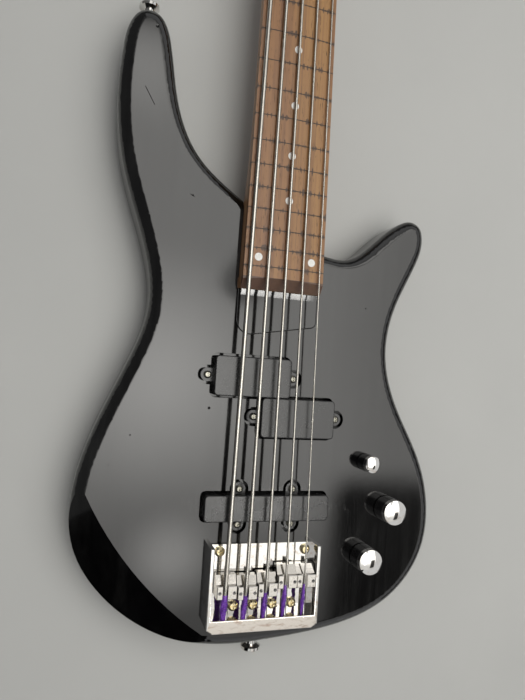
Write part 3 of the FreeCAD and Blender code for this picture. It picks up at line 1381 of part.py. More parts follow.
save("potentiometers", Part.makeCompound([make_potentiometer(knob) for knob in knobs]))
save("control_nuts", Part.makeCompound([make_control_nut(knob) for knob in knobs]))
save("output_jack", make_jack())
save("control_cover", make_control_cover())
save("wiring", make_wiring())
for string in STRINGS:
    number = str(string + 1)
    save("string_" + number, make_string(string))
    save("saddle_" + number, make_saddle(string))
    save("intonation_screw_" + number, make_intonation_screw(string))
    save("tuner_post_" + number, make_post(string))
    save("tuner_key_" + number, make_key(string))
for knob in knobs:
    save("knob_" + str(knob + 1), make_knob(knob))
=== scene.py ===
# %% [markdown]
# # A five-string electric bass, dressed in Blender
#
# The solids of the bass come from a CAD model and are already the right shape
# and size. This lesson gives them their looks: a worn black lacquer, a dry
# open-grained fingerboard, polished metal, and strings with a real winding.
# Nothing that comes from the CAD model is moved. New pieces are worked out with
# numpy in the same frame, in metres: +Y runs along the neck, +X to the treble
# side and +Z out of the front.

# %% Load the solids and keep their box
import json

import bpy
import numpy as np
from mathutils import Matrix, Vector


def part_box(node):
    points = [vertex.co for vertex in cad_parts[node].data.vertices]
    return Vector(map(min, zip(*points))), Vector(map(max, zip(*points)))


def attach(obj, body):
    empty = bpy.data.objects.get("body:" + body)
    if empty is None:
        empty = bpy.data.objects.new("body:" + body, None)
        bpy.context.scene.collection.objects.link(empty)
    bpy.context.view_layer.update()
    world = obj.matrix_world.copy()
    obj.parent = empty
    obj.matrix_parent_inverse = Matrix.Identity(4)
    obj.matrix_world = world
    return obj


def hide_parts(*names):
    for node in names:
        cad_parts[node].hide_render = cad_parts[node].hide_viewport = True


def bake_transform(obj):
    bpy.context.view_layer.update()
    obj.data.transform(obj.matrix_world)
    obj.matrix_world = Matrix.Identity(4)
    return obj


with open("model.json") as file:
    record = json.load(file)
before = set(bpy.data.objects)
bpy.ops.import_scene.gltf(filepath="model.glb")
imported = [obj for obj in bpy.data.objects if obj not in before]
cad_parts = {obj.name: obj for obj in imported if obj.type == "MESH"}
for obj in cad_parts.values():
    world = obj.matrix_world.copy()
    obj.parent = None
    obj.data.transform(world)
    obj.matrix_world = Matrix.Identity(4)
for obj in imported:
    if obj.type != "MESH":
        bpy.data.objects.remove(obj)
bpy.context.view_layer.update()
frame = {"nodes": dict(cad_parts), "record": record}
nodes = frame["nodes"]

# %% [markdown]
# ## Where the camera stands
#
# The bass lies on its back and is seen from above, a little from the bass side.
# A camera could be placed by eye. Here its place was worked out once from the
# marks on the fingerboard, whose spacing is known, so the three rows below are
# simply the directions that point right, up and backwards in the picture.

# %% Camera
CAMERA_PLACE = (-0.131945, 0.144152, 0.440599)
PICTURE_RIGHT = (0.95356594, 0.06292959, 0.29453670)
PICTURE_UP = (-0.06968392, 0.99749102, 0.01248233)
PICTURE_BACK = (-0.29301221, -0.03242719, 0.95555864)
LENS_MM, SENSOR_MM = 29.899, 36.0
NEAREST_SEEN = 0.01
TOP_FACE = 0.040

viewpoint = bpy.data.cameras.new("viewpoint")
viewpoint.lens = LENS_MM
viewpoint.sensor_width = SENSOR_MM
viewpoint.clip_start = NEAREST_SEEN
camera = bpy.data.objects.new("viewpoint", viewpoint)
turned = Matrix((PICTURE_RIGHT, PICTURE_UP, PICTURE_BACK)).transposed().to_4x4()
camera.matrix_world = Matrix.Translation(CAMERA_PLACE) @ turned
scene = bpy.context.scene
scene.collection.objects.link(camera)
scene.camera = camera
print("camera", round(CAMERA_PLACE[2] - TOP_FACE, 3), "m above the top of the body")

# %% [markdown]
# ## A small helper for finishes
#
# Every material below is a Principled shader with a few pattern nodes in front
# of it. The helper adds one node per call and returns its output, so a finish
# reads from top to bottom like a recipe: coat, stain, dust, bump.

# %% Finish helper
MIX_SHARE, MIX_FIRST, MIX_SECOND, MIX_RESULT = 0, 6, 7, 2
BAND_FULL_SHARE = 0.4


class Finish:
    """A material whose pattern nodes are added one after the other."""

    def __init__(self, name, colour, roughness, metallic=0.0, ior=1.5):
        self.material = bpy.data.materials.new(name)
        self.material.use_nodes = True
        self.tree = self.material.node_tree
        self.shader = self.tree.nodes["Principled BSDF"]
        self.shader.inputs["Base Color"].default_value = (*colour, 1)
        self.shader.inputs["Roughness"].default_value = roughness
        self.shader.inputs["Metallic"].default_value = metallic
        self.shader.inputs["IOR"].default_value = ior

    def add(self, kind, inputs, out=0, **settings):
        """One node; an input is a number, a colour or the output of an earlier node."""
        node = self.tree.nodes.new(kind)
        for name, value in settings.items():
            setattr(node, name, value)
        for name, value in inputs.items():
            if isinstance(value, bpy.types.NodeSocket):
                self.tree.links.new(value, node.inputs[name])
            else:
                node.inputs[name].default_value = value
        return node.outputs[out]

    def point(self, scale=(1, 1, 1), turn=(0, 0, 0), shift=(0, 0, 0)):
        """The place on the object in metres, stretched by scale, turned in radians and shifted."""
        place = self.add("ShaderNodeTexCoord", {}, out="Object")
        return self.add("ShaderNodeMapping", {"Vector": place, "Scale": scale, "Rotation": turn,
                                              "Location": shift})

    def noise(self, vector, scale=1.0, detail=3.0, rough=0.55, warp=0.0):
        """Cloudy pattern between 0 and 1."""
        return self.add("ShaderNodeTexNoise", {"Vector": vector, "Scale": scale, "Detail": detail,
                                               "Roughness": rough, "Distortion": warp})

    def between(self, value, low, high, to_low=0.0, to_high=1.0):
        """Value turned into to_low at low and to_high at high, with soft ends."""
        return self.add("ShaderNodeMapRange", {"Value": value, "From Min": low, "From Max": high,
                                               "To Min": to_low, "To Max": to_high},
                        interpolation_type="SMOOTHSTEP")

    def maths(self, operation, a, b=0.0, c=0.0):
        """Arithmetic on up to three numbers."""
        return self.add("ShaderNodeMath", {0: a, 1: b, 2: c}, operation=operation)

    def vector(self, operation, a, b, out="Value"):
        """Arithmetic on two vectors."""
        return self.add("ShaderNodeVectorMath", {0: a, 1: b}, out=out, operation=operation)

    def axis(self, vector, letter):
        """One coordinate of a vector."""
        return self.add("ShaderNodeSeparateXYZ", {"Vector": vector}, out=letter)

    def blend(self, share, first, second):
        """Colour that goes from first to second as share goes from 0 to 1."""
        first = first if isinstance(first, bpy.types.NodeSocket) else (*first, 1)
        second = second if isinstance(second, bpy.types.NodeSocket) else (*second, 1)
        inputs = {MIX_SHARE: share, MIX_FIRST: first, MIX_SECOND: second}
        return self.add("ShaderNodeMix", inputs, out=MIX_RESULT, data_type="RGBA")

    def spot(self, place, radius):
        """1 at a place on the object, falling to 0 at radius."""
        away = self.vector("DISTANCE", self.point(), place)
        return self.between(away, 0.0, radius, 1.0, 0.0)

    def band(self, place, start, end, width):
        """1 on the line from start to end as seen from above, 0 at width across and at its ends."""
        way = np.subtract(end, start)
        length = np.linalg.norm(way)
        way = way / length
        from_start = self.vector("SUBTRACT", place, (*start, 0), out="Vector")
        onward = self.vector("DOT_PRODUCT", from_start, (*way, 0))
        across = self.vector("DOT_PRODUCT", from_start, (-way[1], way[0], 0))
        thin = self.between(self.maths("ABSOLUTE", across), 0.0, width, 1.0, 0.0)
        from_middle = self.maths("ABSOLUTE", self.maths("SUBTRACT", onward, length / 2))
        inside = self.between(from_middle, length * BAND_FULL_SHARE, length / 2, 1.0, 0.0)
        return self.maths("MULTIPLY", thin, inside)

    def colour(self, socket):
        """The pattern gives the colour."""
        self.tree.links.new(socket, self.shader.inputs["Base Color"])

    def rough(self, socket):
        """The pattern gives the roughness."""
        self.tree.links.new(socket, self.shader.inputs["Roughness"])

    def emit(self, tint, strength):
        """Light given off; its strength is a number or the output of an earlier node."""
        self.shader.inputs["Emission Color"].default_value = (*tint, 1)
        socket = self.shader.inputs["Emission Strength"]
        if isinstance(strength, bpy.types.NodeSocket):
            self.tree.links.new(strength, socket)
        else:
            socket.default_value = strength

    def bump(self, height, distance, strength=1.0):
        """Relief: height 1 stands distance metres above height 0."""
        inputs = {"Height": height, "Distance": distance, "Strength": strength}
        before = self.shader.inputs["Normal"].links
        if before:
            inputs["Normal"] = before[0].from_socket
        relief = self.add("ShaderNodeBump", inputs)
        self.tree.links.new(relief, self.shader.inputs["Normal"])


print("finish helper ready")

# %% [markdown]
# ## Light for a black mirror
#
# A gloss-black body has almost no colour of its own: what we see on it is a
# picture of the lamp. So the lamp is one broad softbox overhead, a sheet of
# glowing cloth whose brightness varies softly from place to place. Because the
# top is a flat mirror, every place on the cloth belongs to one place on the
# body: mirror the camera in the top, draw a line through the body, and see where
# it meets the cloth. The brightness can then be written in the body's own
# metres.

# %% Cloth of the softbox
SOFTBOX_HEIGHT = 1.06
SPREAD = 1 + (SOFTBOX_HEIGHT - TOP_FACE) / (CAMERA_PLACE[2] - TOP_FACE)
CLOTH_START, CLOTH_END = (-0.17, -0.14), (0.18, 0.44)

scene.view_settings.view_transform = "Standard"


def over(x, y):
    """Place on the cloth that the camera sees mirrored at x, y: eye + spread * (place - eye)."""
    eye_x, eye_y = CAMERA_PLACE[:2]
    return eye_x + SPREAD * (x - eye_x), eye_y + SPREAD * (y - eye_y), SOFTBOX_HEIGHT


def level_corners(start, end, z):
    """Four corners of a level rectangle from start to end."""
    return [(start[0], start[1], z), (end[0], start[1], z), (end[0], end[1], z),
            (start[0], end[1], z)]


def sheet_of(name, corners, finish):
    """Four-cornered sheet with one finish, part of the stage and not of the bass."""
    mesh = bpy.data.meshes.new(name)
    mesh.from_pydata(corners, [], [(0, 1, 2, 3)])
    mesh.materials.append(finish.material)
    sheet = bpy.data.objects.new(name, mesh)
    scene.collection.objects.link(sheet)
    return sheet


cloth = Finish("softbox_cloth", (0, 0, 0), 1.0)
low_left, high_right = over(*CLOTH_START), over(*CLOTH_END)
softbox = sheet_of("softbox", level_corners(low_left, high_right, SOFTBOX_HEIGHT), cloth)
softbox.visible_camera = False
print("softbox from", np.round(low_left, 2), "to", np.round(high_right, 2))

# %% [markdown]
# The cloth is brightest over the bass side, fades towards the tail and the
# treble side, and is dark over the knobs. A shade covers the place that only the
# saddles' ramps mirror, and a bright line lies where the ramp of the heel cap
# looks. Each fade below gives where it starts and where it ends.

# %% Brightness of the cloth
SOFTBOX_LEVEL, DAYLIGHT = 2.5, (1.0, 0.985, 0.95)
TAIL_FADE, TAIL_SHARE = (-0.05, 0.09), 0.33
TREBLE_FADE, TREBLE_SHARE = (0.02, 0.11), 0.75
HEAD_FADE, HEAD_SHARE = (0.355, 0.40), 0.4
BASS_END, HEAD_END = (CLOTH_START[0], -0.13), (0.40, CLOTH_END[1])
GLOWS = (((-0.083, 0.138), 0.102, 2.6), ((-0.105, 0.345), 0.050, 0.9),
         ((-0.066, 0.010), 0.042, 2.2))
KNOB_SHADE_BASS, KNOB_SHADE_TREBLE = (0.035, 0.07), (0.150, 0.165)
KNOB_SHADE_HEAD, KNOB_SHADE_TAIL = (0.045, 0.085), (-0.105, -0.085)
KNOB_SHADE_SHARE = 0.06
SADDLE_SHADE = ((-0.040, 0.188), (0.062, 0.325), 0.024)
SADDLE_SHADE_FULL, SADDLE_SHADE_SHARE = 0.7, 0.34
RAMP_GLOW, RAMP_GAIN = ((-0.040, 0.0472), (0.034, 0.0472), 0.0052), 24.0

shift = [eye * (1 - 1 / SPREAD) for eye in CAMERA_PLACE[:2]]
mirrored = cloth.point((1 / SPREAD, 1 / SPREAD, 1), shift=(*shift, 0))
body_x, body_y = cloth.axis(mirrored, "X"), cloth.axis(mirrored, "Y")
level = cloth.between(body_y, *TAIL_FADE, TAIL_SHARE * SOFTBOX_LEVEL, SOFTBOX_LEVEL)
for axis, fade, first, last in ((body_x, TREBLE_FADE, 1, TREBLE_SHARE),
                                (body_y, HEAD_FADE, 1, HEAD_SHARE),
                                (body_x, BASS_END, 0, 1), (body_y, HEAD_END, 1, 0)):
    level = cloth.maths("MULTIPLY", level, cloth.between(axis, *fade, first, last))
for place, reach, gain in GLOWS:
    level = cloth.maths("MULTIPLY_ADD", cloth.spot(over(*place), reach * SPREAD), gain, level)
shade = cloth.between(body_x, *KNOB_SHADE_BASS)
for axis, fade, first, last in ((body_y, KNOB_SHADE_HEAD, 1, 0), (body_x, KNOB_SHADE_TREBLE, 1, 0),
                                (body_y, KNOB_SHADE_TAIL, 0, 1)):
    shade = cloth.maths("MULTIPLY", shade, cloth.between(axis, *fade, first, last))
level = cloth.maths("MULTIPLY", level, cloth.between(shade, 0.0, 1.0, 1.0, KNOB_SHADE_SHARE))
saddle_shade = cloth.between(cloth.band(mirrored, *SADDLE_SHADE), 0.0, SADDLE_SHADE_FULL,
                             1.0, SADDLE_SHADE_SHARE)
level = cloth.maths("MULTIPLY", level, saddle_shade)
level = cloth.maths("MULTIPLY_ADD", cloth.band(mirrored, *RAMP_GLOW), RAMP_GAIN, level)
cloth.emit(DAYLIGHT, level)
print("cloth with", len(GLOWS), "glows")

# %% [markdown]
# Flags are dark sheets that keep light from coming from where it isn't wanted.
# These are seen by mirrors alone, and they keep the rounded edges of the body and
# the forearm slope black. Two black ones stand far out on the bass side and at
# the tail. The others are dark grey, because polished metal sees them too: one
# along the bass edge, and low ones on the treble side and at the head.

# %% Flags
FLAG_FOOT, FLAG_SIDE, TAIL_FLAG_END = 0.0, 0.9, 0.1
EDGE_FLAG_SIDE, EDGE_FLAG_START = -0.29, -0.12
LOW_FLAG_HEIGHT, GREY_LEVEL = 0.32, 0.12

black_cloth = Finish("flag_cloth", (0, 0, 0), 1.0, ior=1.0)
grey_cloth = Finish("grey_flag_cloth", (0, 0, 0), 1.0, ior=1.0)
grey_cloth.emit((1.0, 1.0, 1.0), GREY_LEVEL)
tail, head = low_left[1], high_right[1]
edge_start, edge_end = (EDGE_FLAG_SIDE, EDGE_FLAG_START), (EDGE_FLAG_SIDE, head)
FLAGS = {
    "bass_flag": ((-FLAG_SIDE, tail), (-FLAG_SIDE, head), SOFTBOX_HEIGHT, black_cloth),
    "edge_flag": (edge_start, edge_end, SOFTBOX_HEIGHT, grey_cloth),
    "tail_flag": ((-FLAG_SIDE, tail), (TAIL_FLAG_END, tail), SOFTBOX_HEIGHT, black_cloth),
    "treble_flag": ((FLAG_SIDE, tail), (FLAG_SIDE, head), LOW_FLAG_HEIGHT, grey_cloth),
    "head_flag": ((-FLAG_SIDE, head), (FLAG_SIDE, head), LOW_FLAG_HEIGHT, grey_cloth),
}
for name, (first, last, top, finish) in FLAGS.items():
    upright = [(*first, FLAG_FOOT), (*last, FLAG_FOOT), (*last, top), (*first, top)]
    flag = sheet_of(name, upright, finish)
    flag.visible_camera = False
    flag.visible_diffuse = False
    flag.visible_shadow = False
print(len(FLAGS), "flags")

# %% [markdown]
# The pale studio around fills the shadows a little. To the camera and to mirrors
# it is brighter, so the background is pale and the knobs' domes have something
# light to show, without more light falling on the bass.

# %% Studio around
FILL, BACKDROP = 0.28, 0.72

studio = bpy.data.worlds.new("studio")
studio.use_nodes = True
studio_tree = studio.node_tree
sky = studio_tree.nodes["Background"]
ray_kind = studio_tree.nodes.new("ShaderNodeLightPath")
camera_or_glossy = studio_tree.nodes.new("ShaderNodeMath")
seen_directly = studio_tree.nodes.new("ShaderNodeMath")
strength = studio_tree.nodes.new("ShaderNodeMapRange")
camera_or_glossy.operation = seen_directly.operation = "MAXIMUM"
studio_tree.links.new(ray_kind.outputs["Is Camera Ray"], camera_or_glossy.inputs[0])
studio_tree.links.new(ray_kind.outputs["Is Glossy Ray"], camera_or_glossy.inputs[1])
studio_tree.links.new(camera_or_glossy.outputs[0], seen_directly.inputs[0])
studio_tree.links.new(ray_kind.outputs["Is Transmission Ray"], seen_directly.inputs[1])
strength.inputs["To Min"].default_value = FILL
strength.inputs["To Max"].default_value = BACKDROP
studio_tree.links.new(seen_directly.outputs[0], strength.inputs["Value"])
studio_tree.links.new(strength.outputs["Result"], sky.inputs["Strength"])
sky.inputs["Color"].default_value = (1.0, 1.0, 1.0, 1)
scene.world = studio
print("fill", FILL, "and backdrop", BACKDROP)

# %% [markdown]
# ## The floor
#
# A plain pale floor keeps the eye on the bass. It lies a hair below the flat
# back. A faint cloudiness stops it from looking like a cut-out, and far from the
# bass it fades into the pale backdrop, as a paper sweep in a studio does.

# %% Floor
FLOOR_HALF, FLOOR_GAP = 6.0, 0.0006
FLOOR_TONES = ((0.455, 0.458, 0.447), (0.515, 0.518, 0.503))
FADE_MIDDLE, FADE_START, FADE_END, FADE_LEVEL = (0.0, 0.5, 0.0), 0.8, 2.5, 0.53

floor_paint = Finish("pale_floor", (0.56, 0.56, 0.55), 0.75)
clouds = floor_paint.noise(floor_paint.point(), scale=6.0, detail=4.0)
floor_paint.colour(floor_paint.blend(clouds, *FLOOR_TONES))
from_bass = floor_paint.vector("DISTANCE", floor_paint.point(), FADE_MIDDLE)
faded = floor_paint.between(from_bass, FADE_START, FADE_END, 0.0, FADE_LEVEL)
camera_ray = floor_paint.add("ShaderNodeLightPath", {}, out="Is Camera Ray")
floor_paint.emit((1.0, 1.0, 1.0), floor_paint.maths("MULTIPLY", faded, camera_ray))
floor_corners = level_corners((-FLOOR_HALF, -FLOOR_HALF), (FLOOR_HALF, FLOOR_HALF), -FLOOR_GAP)
sheet_of("floor", floor_corners, floor_paint)
print("floor", 2 * FLOOR_HALF, "m wide")

# %% [markdown]
# ## Black lacquer
#
# The body is wood under a thick black gloss coat. Up close it is never a
# perfect mirror: it carries a milky film of wiped-off dust in long streaks,
# smudges the size of a hand, fine hairline scratches and a few real dings.
# The film is a very weak grey in the colour, the smudges are in the roughness,
# and scratches and dings are relief, so they catch the light from any side.

# %% Lacquer
DINGS = (((-0.0455, 0.1145, 0.040), 0.0011), ((-0.0669, 0.2621, 0.040), 0.0008),
         ((-0.0990, 0.3750, 0.040), 0.0014), ((-0.0984, 0.0942, 0.040), 0.0006),
         ((-0.1113, 0.0739, 0.0395), 0.0007), ((0.0712, 0.1950, 0.040), 0.0006))
SCRATCHES = (((-0.1047, 0.3324), (-0.0971, 0.3200)), ((-0.0690, 0.2628), (-0.0655, 0.2612)))
SCRATCH_WIDTH = 0.00028
DING_DEPTH_SHARE, SCRATCH_DEPTH_SHARE = 0.45, 0.5
HAIRLINES = ((0.5, 26.0), (-0.9, 19.0))
HAIR_STRETCH, HAIR_WIDTH = 26, 0.004
COAT_RELIEF = 0.000004


def black_lacquer(name, film, dings=(), scratches=()):
    """Black gloss coat with a film of dust, smudges, hairlines, dings and scratches."""
    coat = Finish(name, (0.004, 0.004, 0.0045), 0.05, ior=1.62)
    smudge = coat.noise(coat.point((13, 8, 13)), detail=5.0, rough=0.6, warp=0.4)
    streak = coat.noise(coat.point((150, 6, 150)), detail=3.0)
    speck = coat.noise(coat.point(), scale=900.0, detail=1.0)
    veil = coat.maths("MULTIPLY", coat.between(smudge, 0.36, 0.72), coat.between(streak, 0.25, 0.8))
    veil = coat.maths("ADD", veil, coat.between(speck, 0.76, 0.82, 0.0, 0.7))
    coat.colour(coat.blend(veil, (0.0015, 0.0014, 0.0016), film))
    coat.rough(coat.between(smudge, 0.3, 0.75, 0.035, 0.11))
    peel = coat.noise(coat.point(), scale=260.0, detail=1.0)
    coat.bump(peel, COAT_RELIEF)
    for turn, density in HAIRLINES:
        drawn_out = coat.point((density * HAIR_STRETCH, density, density), (0, 0, turn))
        from_line = coat.maths("SUBTRACT", coat.noise(drawn_out, detail=0.0), 0.5)
        hair = coat.between(coat.maths("ABSOLUTE", from_line), 0.0, HAIR_WIDTH, 1.0, 0.0)
        coat.bump(hair, -COAT_RELIEF, 0.5)
    for place, radius in dings:
        coat.bump(coat.spot(place, radius), -radius * DING_DEPTH_SHARE)
    for start, end in scratches:
        scratch = coat.band(coat.point(), start, end, SCRATCH_WIDTH)
        coat.bump(scratch, -SCRATCH_WIDTH * SCRATCH_DEPTH_SHARE)
    return coat


body_coat = black_lacquer("black_lacquer", (0.014, 0.014, 0.0138), DINGS, SCRATCHES)
cap_coat = black_lacquer("heel_cap_gloss", (0.016, 0.016, 0.016))
print("lacquer with", len(DINGS), "dings and", len(SCRATCHES), "scratches")

# %% [markdown]
# ## Fingerboard and neck wood
#
# The fingerboard is a dry, open-grained brown wood, redder on the bass side. Its
# look comes from three sizes of the same thing, all drawn out along the neck:
# broad bands of colour, narrow growth streaks, and short dark pores. The neck
# below it has the same grain in paler tones.

# %% Grain
def grain(wood, bands, tones, pore_tone, pore_density, pore_share):
    """Colour bands, streaks and pores that run along +Y; returns colour and pores."""
    broad = wood.noise(wood.point((bands, bands * 0.035, bands)), detail=4.0, warp=0.6)
    narrow = wood.noise(wood.point((bands * 3.3, bands * 0.06, bands * 3.3)), detail=4.0, warp=0.3)
    fine = wood.noise(wood.point((bands * 10, bands * 0.2, bands * 10)), detail=3.0)
    tone = wood.blend(wood.between(broad, 0.36, 0.62), tones[0], tones[1])
    tone = wood.blend(wood.between(narrow, 0.46, 0.68, 0.0, 0.75), tone, tones[2])
    tone = wood.blend(wood.between(fine, 0.48, 0.78, 0.0, 0.5), tone, tones[3])
    pore = wood.noise(wood.point((pore_density, pore_density * 0.05, pore_density)), detail=2.0)
    pore = wood.between(pore, pore_share, pore_share + 0.06)
    return wood.blend(pore, tone, pore_tone), pore


BOARD_TONES = ((0.345, 0.182, 0.064), (0.255, 0.122, 0.048), (0.175, 0.080, 0.037),
               (0.125, 0.058, 0.028))
BASS_SIDE_TONE, PORE_TONE = (0.215, 0.098, 0.050), (0.070, 0.036, 0.021)
NECK_TONES = ((0.40, 0.222, 0.112), (0.34, 0.182, 0.090), (0.28, 0.146, 0.072),
              (0.235, 0.12, 0.06))
NECK_PORE_TONE = (0.17, 0.085, 0.044)
PORE_SHARE = 0.64

board_wood = Finish("fingerboard_wood", (0.3, 0.19, 0.12), 0.5)
board_colour, board_pore = grain(board_wood, 52.0, BOARD_TONES, PORE_TONE, 2100.0, PORE_SHARE)
redder = board_wood.between(board_wood.axis(board_wood.point(), "X"), -0.034, 0.016, 0.55, 0.0)
bass_side = board_wood.blend(board_pore, BASS_SIDE_TONE, PORE_TONE)
board_colour = board_wood.blend(redder, board_colour, bass_side)

neck_wood = Finish("neck_wood", (0.36, 0.19, 0.10), 0.4)
neck_colour, neck_pore = grain(neck_wood, 42.0, NECK_TONES, NECK_PORE_TONE, 1500.0, PORE_SHARE)
neck_wood.colour(neck_colour)
neck_wood.rough(neck_wood.between(neck_pore, 0.0, 1.0, 0.34, 0.55))
neck_wood.bump(neck_pore, -0.00006, 0.5)
print("grain on fingerboard and neck")

# %% [markdown]
# Where each line was sawn across the fingerboard and filled, the edges are a little broken and
# dirty. The lines stand at twelfths of an octave, so the distance to the nearest one follows from a
# logarithm, and the dirt can be put exactly there. The bevelled end of the board is painted darker:
# partly its real end grain, partly painted shade on the slope.

# %% Dirt at the lines, and end grain with painted shade
SCALE_LENGTH = 0.8636
BOARD_END = 0.2095
STEPS = 12
STEP_SHARE = np.log(2) / STEPS
DIRT_LEAST, DIRT_MOST = 0.0003, 0.0030
DIRT_TONE, DIRT_SHARE = (0.05, 0.028, 0.018), 0.8
END_GRAIN_AND_SHADE_TONE, END_GRAIN_AND_SHADE_SHARE = (0.078, 0.043, 0.033), 0.85
BEVEL_FULL, BEVEL_START = 0.0013, 0.0009

along = board_wood.axis(board_wood.point(), "Y")
octave = board_wood.maths("LOGARITHM", board_wood.maths("DIVIDE", SCALE_LENGTH, along), 2.0)
nearest = board_wood.maths("PINGPONG", board_wood.maths("MULTIPLY", octave, STEPS), 0.5)
from_line = board_wood.maths("MULTIPLY", board_wood.maths("MULTIPLY", nearest, along), STEP_SHARE)
ragged = board_wood.noise(board_wood.point((640, 45, 640)), detail=3.0)
dirt_reach = board_wood.between(ragged, 0.46, 0.74, DIRT_LEAST, DIRT_MOST)
dirt = board_wood.maths("LESS_THAN", from_line, dirt_reach)
dirt = board_wood.maths("MULTIPLY", dirt, board_wood.maths("GREATER_THAN", along, BOARD_END))
dirt = board_wood.maths("MULTIPLY", dirt, DIRT_SHARE)
board_colour = board_wood.blend(dirt, board_colour, DIRT_TONE)
# Painted shade: the bevel at the board's end is darkened, partly for its real end grain and partly
# as painted shade.
end_grain_and_shade = board_wood.between(along, BOARD_END - BEVEL_FULL, BOARD_END - BEVEL_START,
                               END_GRAIN_AND_SHADE_SHARE, 0.0)
board_wood.colour(board_wood.blend(end_grain_and_shade, board_colour, END_GRAIN_AND_SHADE_TONE))
board_wood.rough(board_wood.between(board_pore, 0.0, 1.0, 0.38, 0.66))
board_wood.bump(board_pore, -0.00012, 0.6)
print("one step is", round(STEP_SHARE * 100, 2), "% of the way to the saddle")

# %% [markdown]
# ## Inlays and the nut
#
# The lines are a dark filler, the dots a white plastic with a faint pearl swirl,
# and the nut a bone-coloured plastic with polished string slots.

# %% Filler, dots and nut
line_filler = Finish("line_filler", (0.035, 0.022, 0.016), 0.6)
crumbs = line_filler.noise(line_filler.point(), scale=1600.0, detail=2.0)
line_filler.colour(line_filler.blend(crumbs, (0.012, 0.008, 0.006), (0.075, 0.045, 0.03)))
line_filler.bump(crumbs, 0.00008)

dot_white = Finish("dot_white", (0.8, 0.79, 0.75), 0.25)
swirl = dot_white.noise(dot_white.point(), scale=420.0, detail=3.0, warp=2.5)
dot_white.colour(dot_white.blend(swirl, (0.66, 0.66, 0.63), (0.88, 0.87, 0.84)))
dot_white.rough(dot_white.between(swirl, 0.3, 0.7, 0.2, 0.34))

nut_bone = Finish("nut_bone", (0.78, 0.73, 0.61), 0.35)
marrow = nut_bone.noise(nut_bone.point((300, 60, 300)), detail=4.0)
nut_bone.colour(nut_bone.blend(marrow, (0.70, 0.64, 0.50), (0.84, 0.80, 0.69)))
nut_bone.rough(nut_bone.between(marrow, 0.3, 0.7, 0.28, 0.45))
print("filler, dots and nut")

# %% [markdown]
# ## Black plastics
#
# The pickup covers are moulded with a satin skin: the strings mirror in them
# only as soft dark bands. The lid on the back is duller, and the knobs' barrels
# are shinier. All get a faint moulding texture and the fine rub marks that
# fingers leave.

# %% Black plastics
SMOOTH_SKIN, ROUGH_SKIN = 0.000004, 0.00004


def moulded_black(name, colour, rub, low, high, relief):
    """Moulded black: fine skin texture, and rub marks that lift the colour slightly."""
    skin = Finish(name, colour, (low + high) / 2, ior=1.6)
    worn = skin.noise(skin.point((60, 60, 60)), detail=5.0, rough=0.65)
    fleck = skin.noise(skin.point(), scale=2600.0, detail=1.0)
    broken = skin.between(fleck, 0.3, 0.7, 0.6, 1.0)
    mark = skin.maths("MULTIPLY", skin.between(worn, 0.4, 0.7), broken)
    skin.colour(skin.blend(mark, colour, rub))
    skin.rough(skin.between(worn, 0.3, 0.7, low, high))
    skin.bump(fleck, relief)
    return skin


cover_black = moulded_black("pickup_cover_black", (0.010, 0.010, 0.0105), (0.017, 0.017, 0.017),
                            0.24, 0.30, SMOOTH_SKIN)
lid_black = moulded_black("lid_black", (0.014, 0.014, 0.015), (0.03, 0.03, 0.03),
                          0.3, 0.45, ROUGH_SKIN)
knob_black = moulded_black("knob_black", (0.007, 0.007, 0.008), (0.022, 0.021, 0.021),
                           0.09, 0.2, SMOOTH_SKIN)
print("black plastics")

# %% [markdown]
# ## Metals
#
# Polished plate, dull plate, yellowish worn plate and plain steel differ only in
# tint, in how rough they are and in what has happened to them: wiping leaves
# fine parallel scratches, sweat leaves dull freckles. For each metal the two
# tints come first, then its least and most roughness and how small its freckles
# are.

# %% Metals
WIPING_MARKS = 900


def metal(name, bright, dull, low, high, freckle,
          brushed=(1, 1, 1), relief=0.000002, drawn=(1, 1, 1)):
    """Metal between a bright and a dull tint, with freckles and fine wiping marks."""
    plate = Finish(name, bright, low, metallic=1.0)
    spots = plate.noise(plate.point(drawn), scale=freckle, detail=5.0, rough=0.65)
    wiped = plate.noise(plate.point(tuple(WIPING_MARKS * share for share in brushed)), detail=2.0)
    dulled = plate.between(spots, 0.48, 0.72)
    plate.colour(plate.blend(dulled, bright, dull))
    mixed = plate.maths("MULTIPLY_ADD", wiped, 0.35, dulled)
    plate.rough(plate.between(mixed, 0.1, 1.2, low, high))
    plate.bump(wiped, relief)
    return plate


chrome = metal("chrome", (0.73, 0.72, 0.70), (0.60, 0.535, 0.475), 0.03, 0.16, 190.0,
               brushed=(1, 0.05, 1))
wall_chrome = metal("wall_chrome", (0.74, 0.69, 0.63), (0.46, 0.37, 0.31), 0.05, 0.2, 320.0,
                    brushed=(0.05, 1, 1), drawn=(0.3, 1, 1))
saddle_nickel = metal("saddle_nickel", (0.64, 0.615, 0.575), (0.46, 0.425, 0.385), 0.07, 0.22,
                      900.0, brushed=(0.1, 1, 1), relief=0.000006)
worn_brass = metal("worn_brass", (0.80, 0.70, 0.46), (0.52, 0.42, 0.25), 0.16, 0.38, 1200.0)
pale_screw = metal("pale_screw", (0.27, 0.26, 0.22), (0.13, 0.125, 0.105), 0.22, 0.42, 1500.0)
cast_plate = metal("cast_plate", (0.78, 0.78, 0.775), (0.62, 0.61, 0.59), 0.05, 0.2, 220.0)
plain_steel = metal("plain_steel", (0.58, 0.575, 0.56), (0.36, 0.35, 0.335), 0.2, 0.4, 700.0,
                    brushed=(1, 0.1, 1), relief=0.00001)
dark_steel_and_hole_shade = metal("dark_steel_and_hole_shade", (0.26, 0.255, 0.25), (0.14, 0.135, 0.13), 0.25, 0.45, 1500.0)
magnet_dark = metal("magnet_dark", (0.2, 0.2, 0.2), (0.11, 0.11, 0.11), 0.4, 0.6, 900.0)
print("metals")

# %% [markdown]
# ## Inside pieces
#
# Coils, foam and wires sit under the covers. They still get a real finish: the
# coil shows its lacquered copper turns, the foam its cells and the wires a
# matt sleeve.

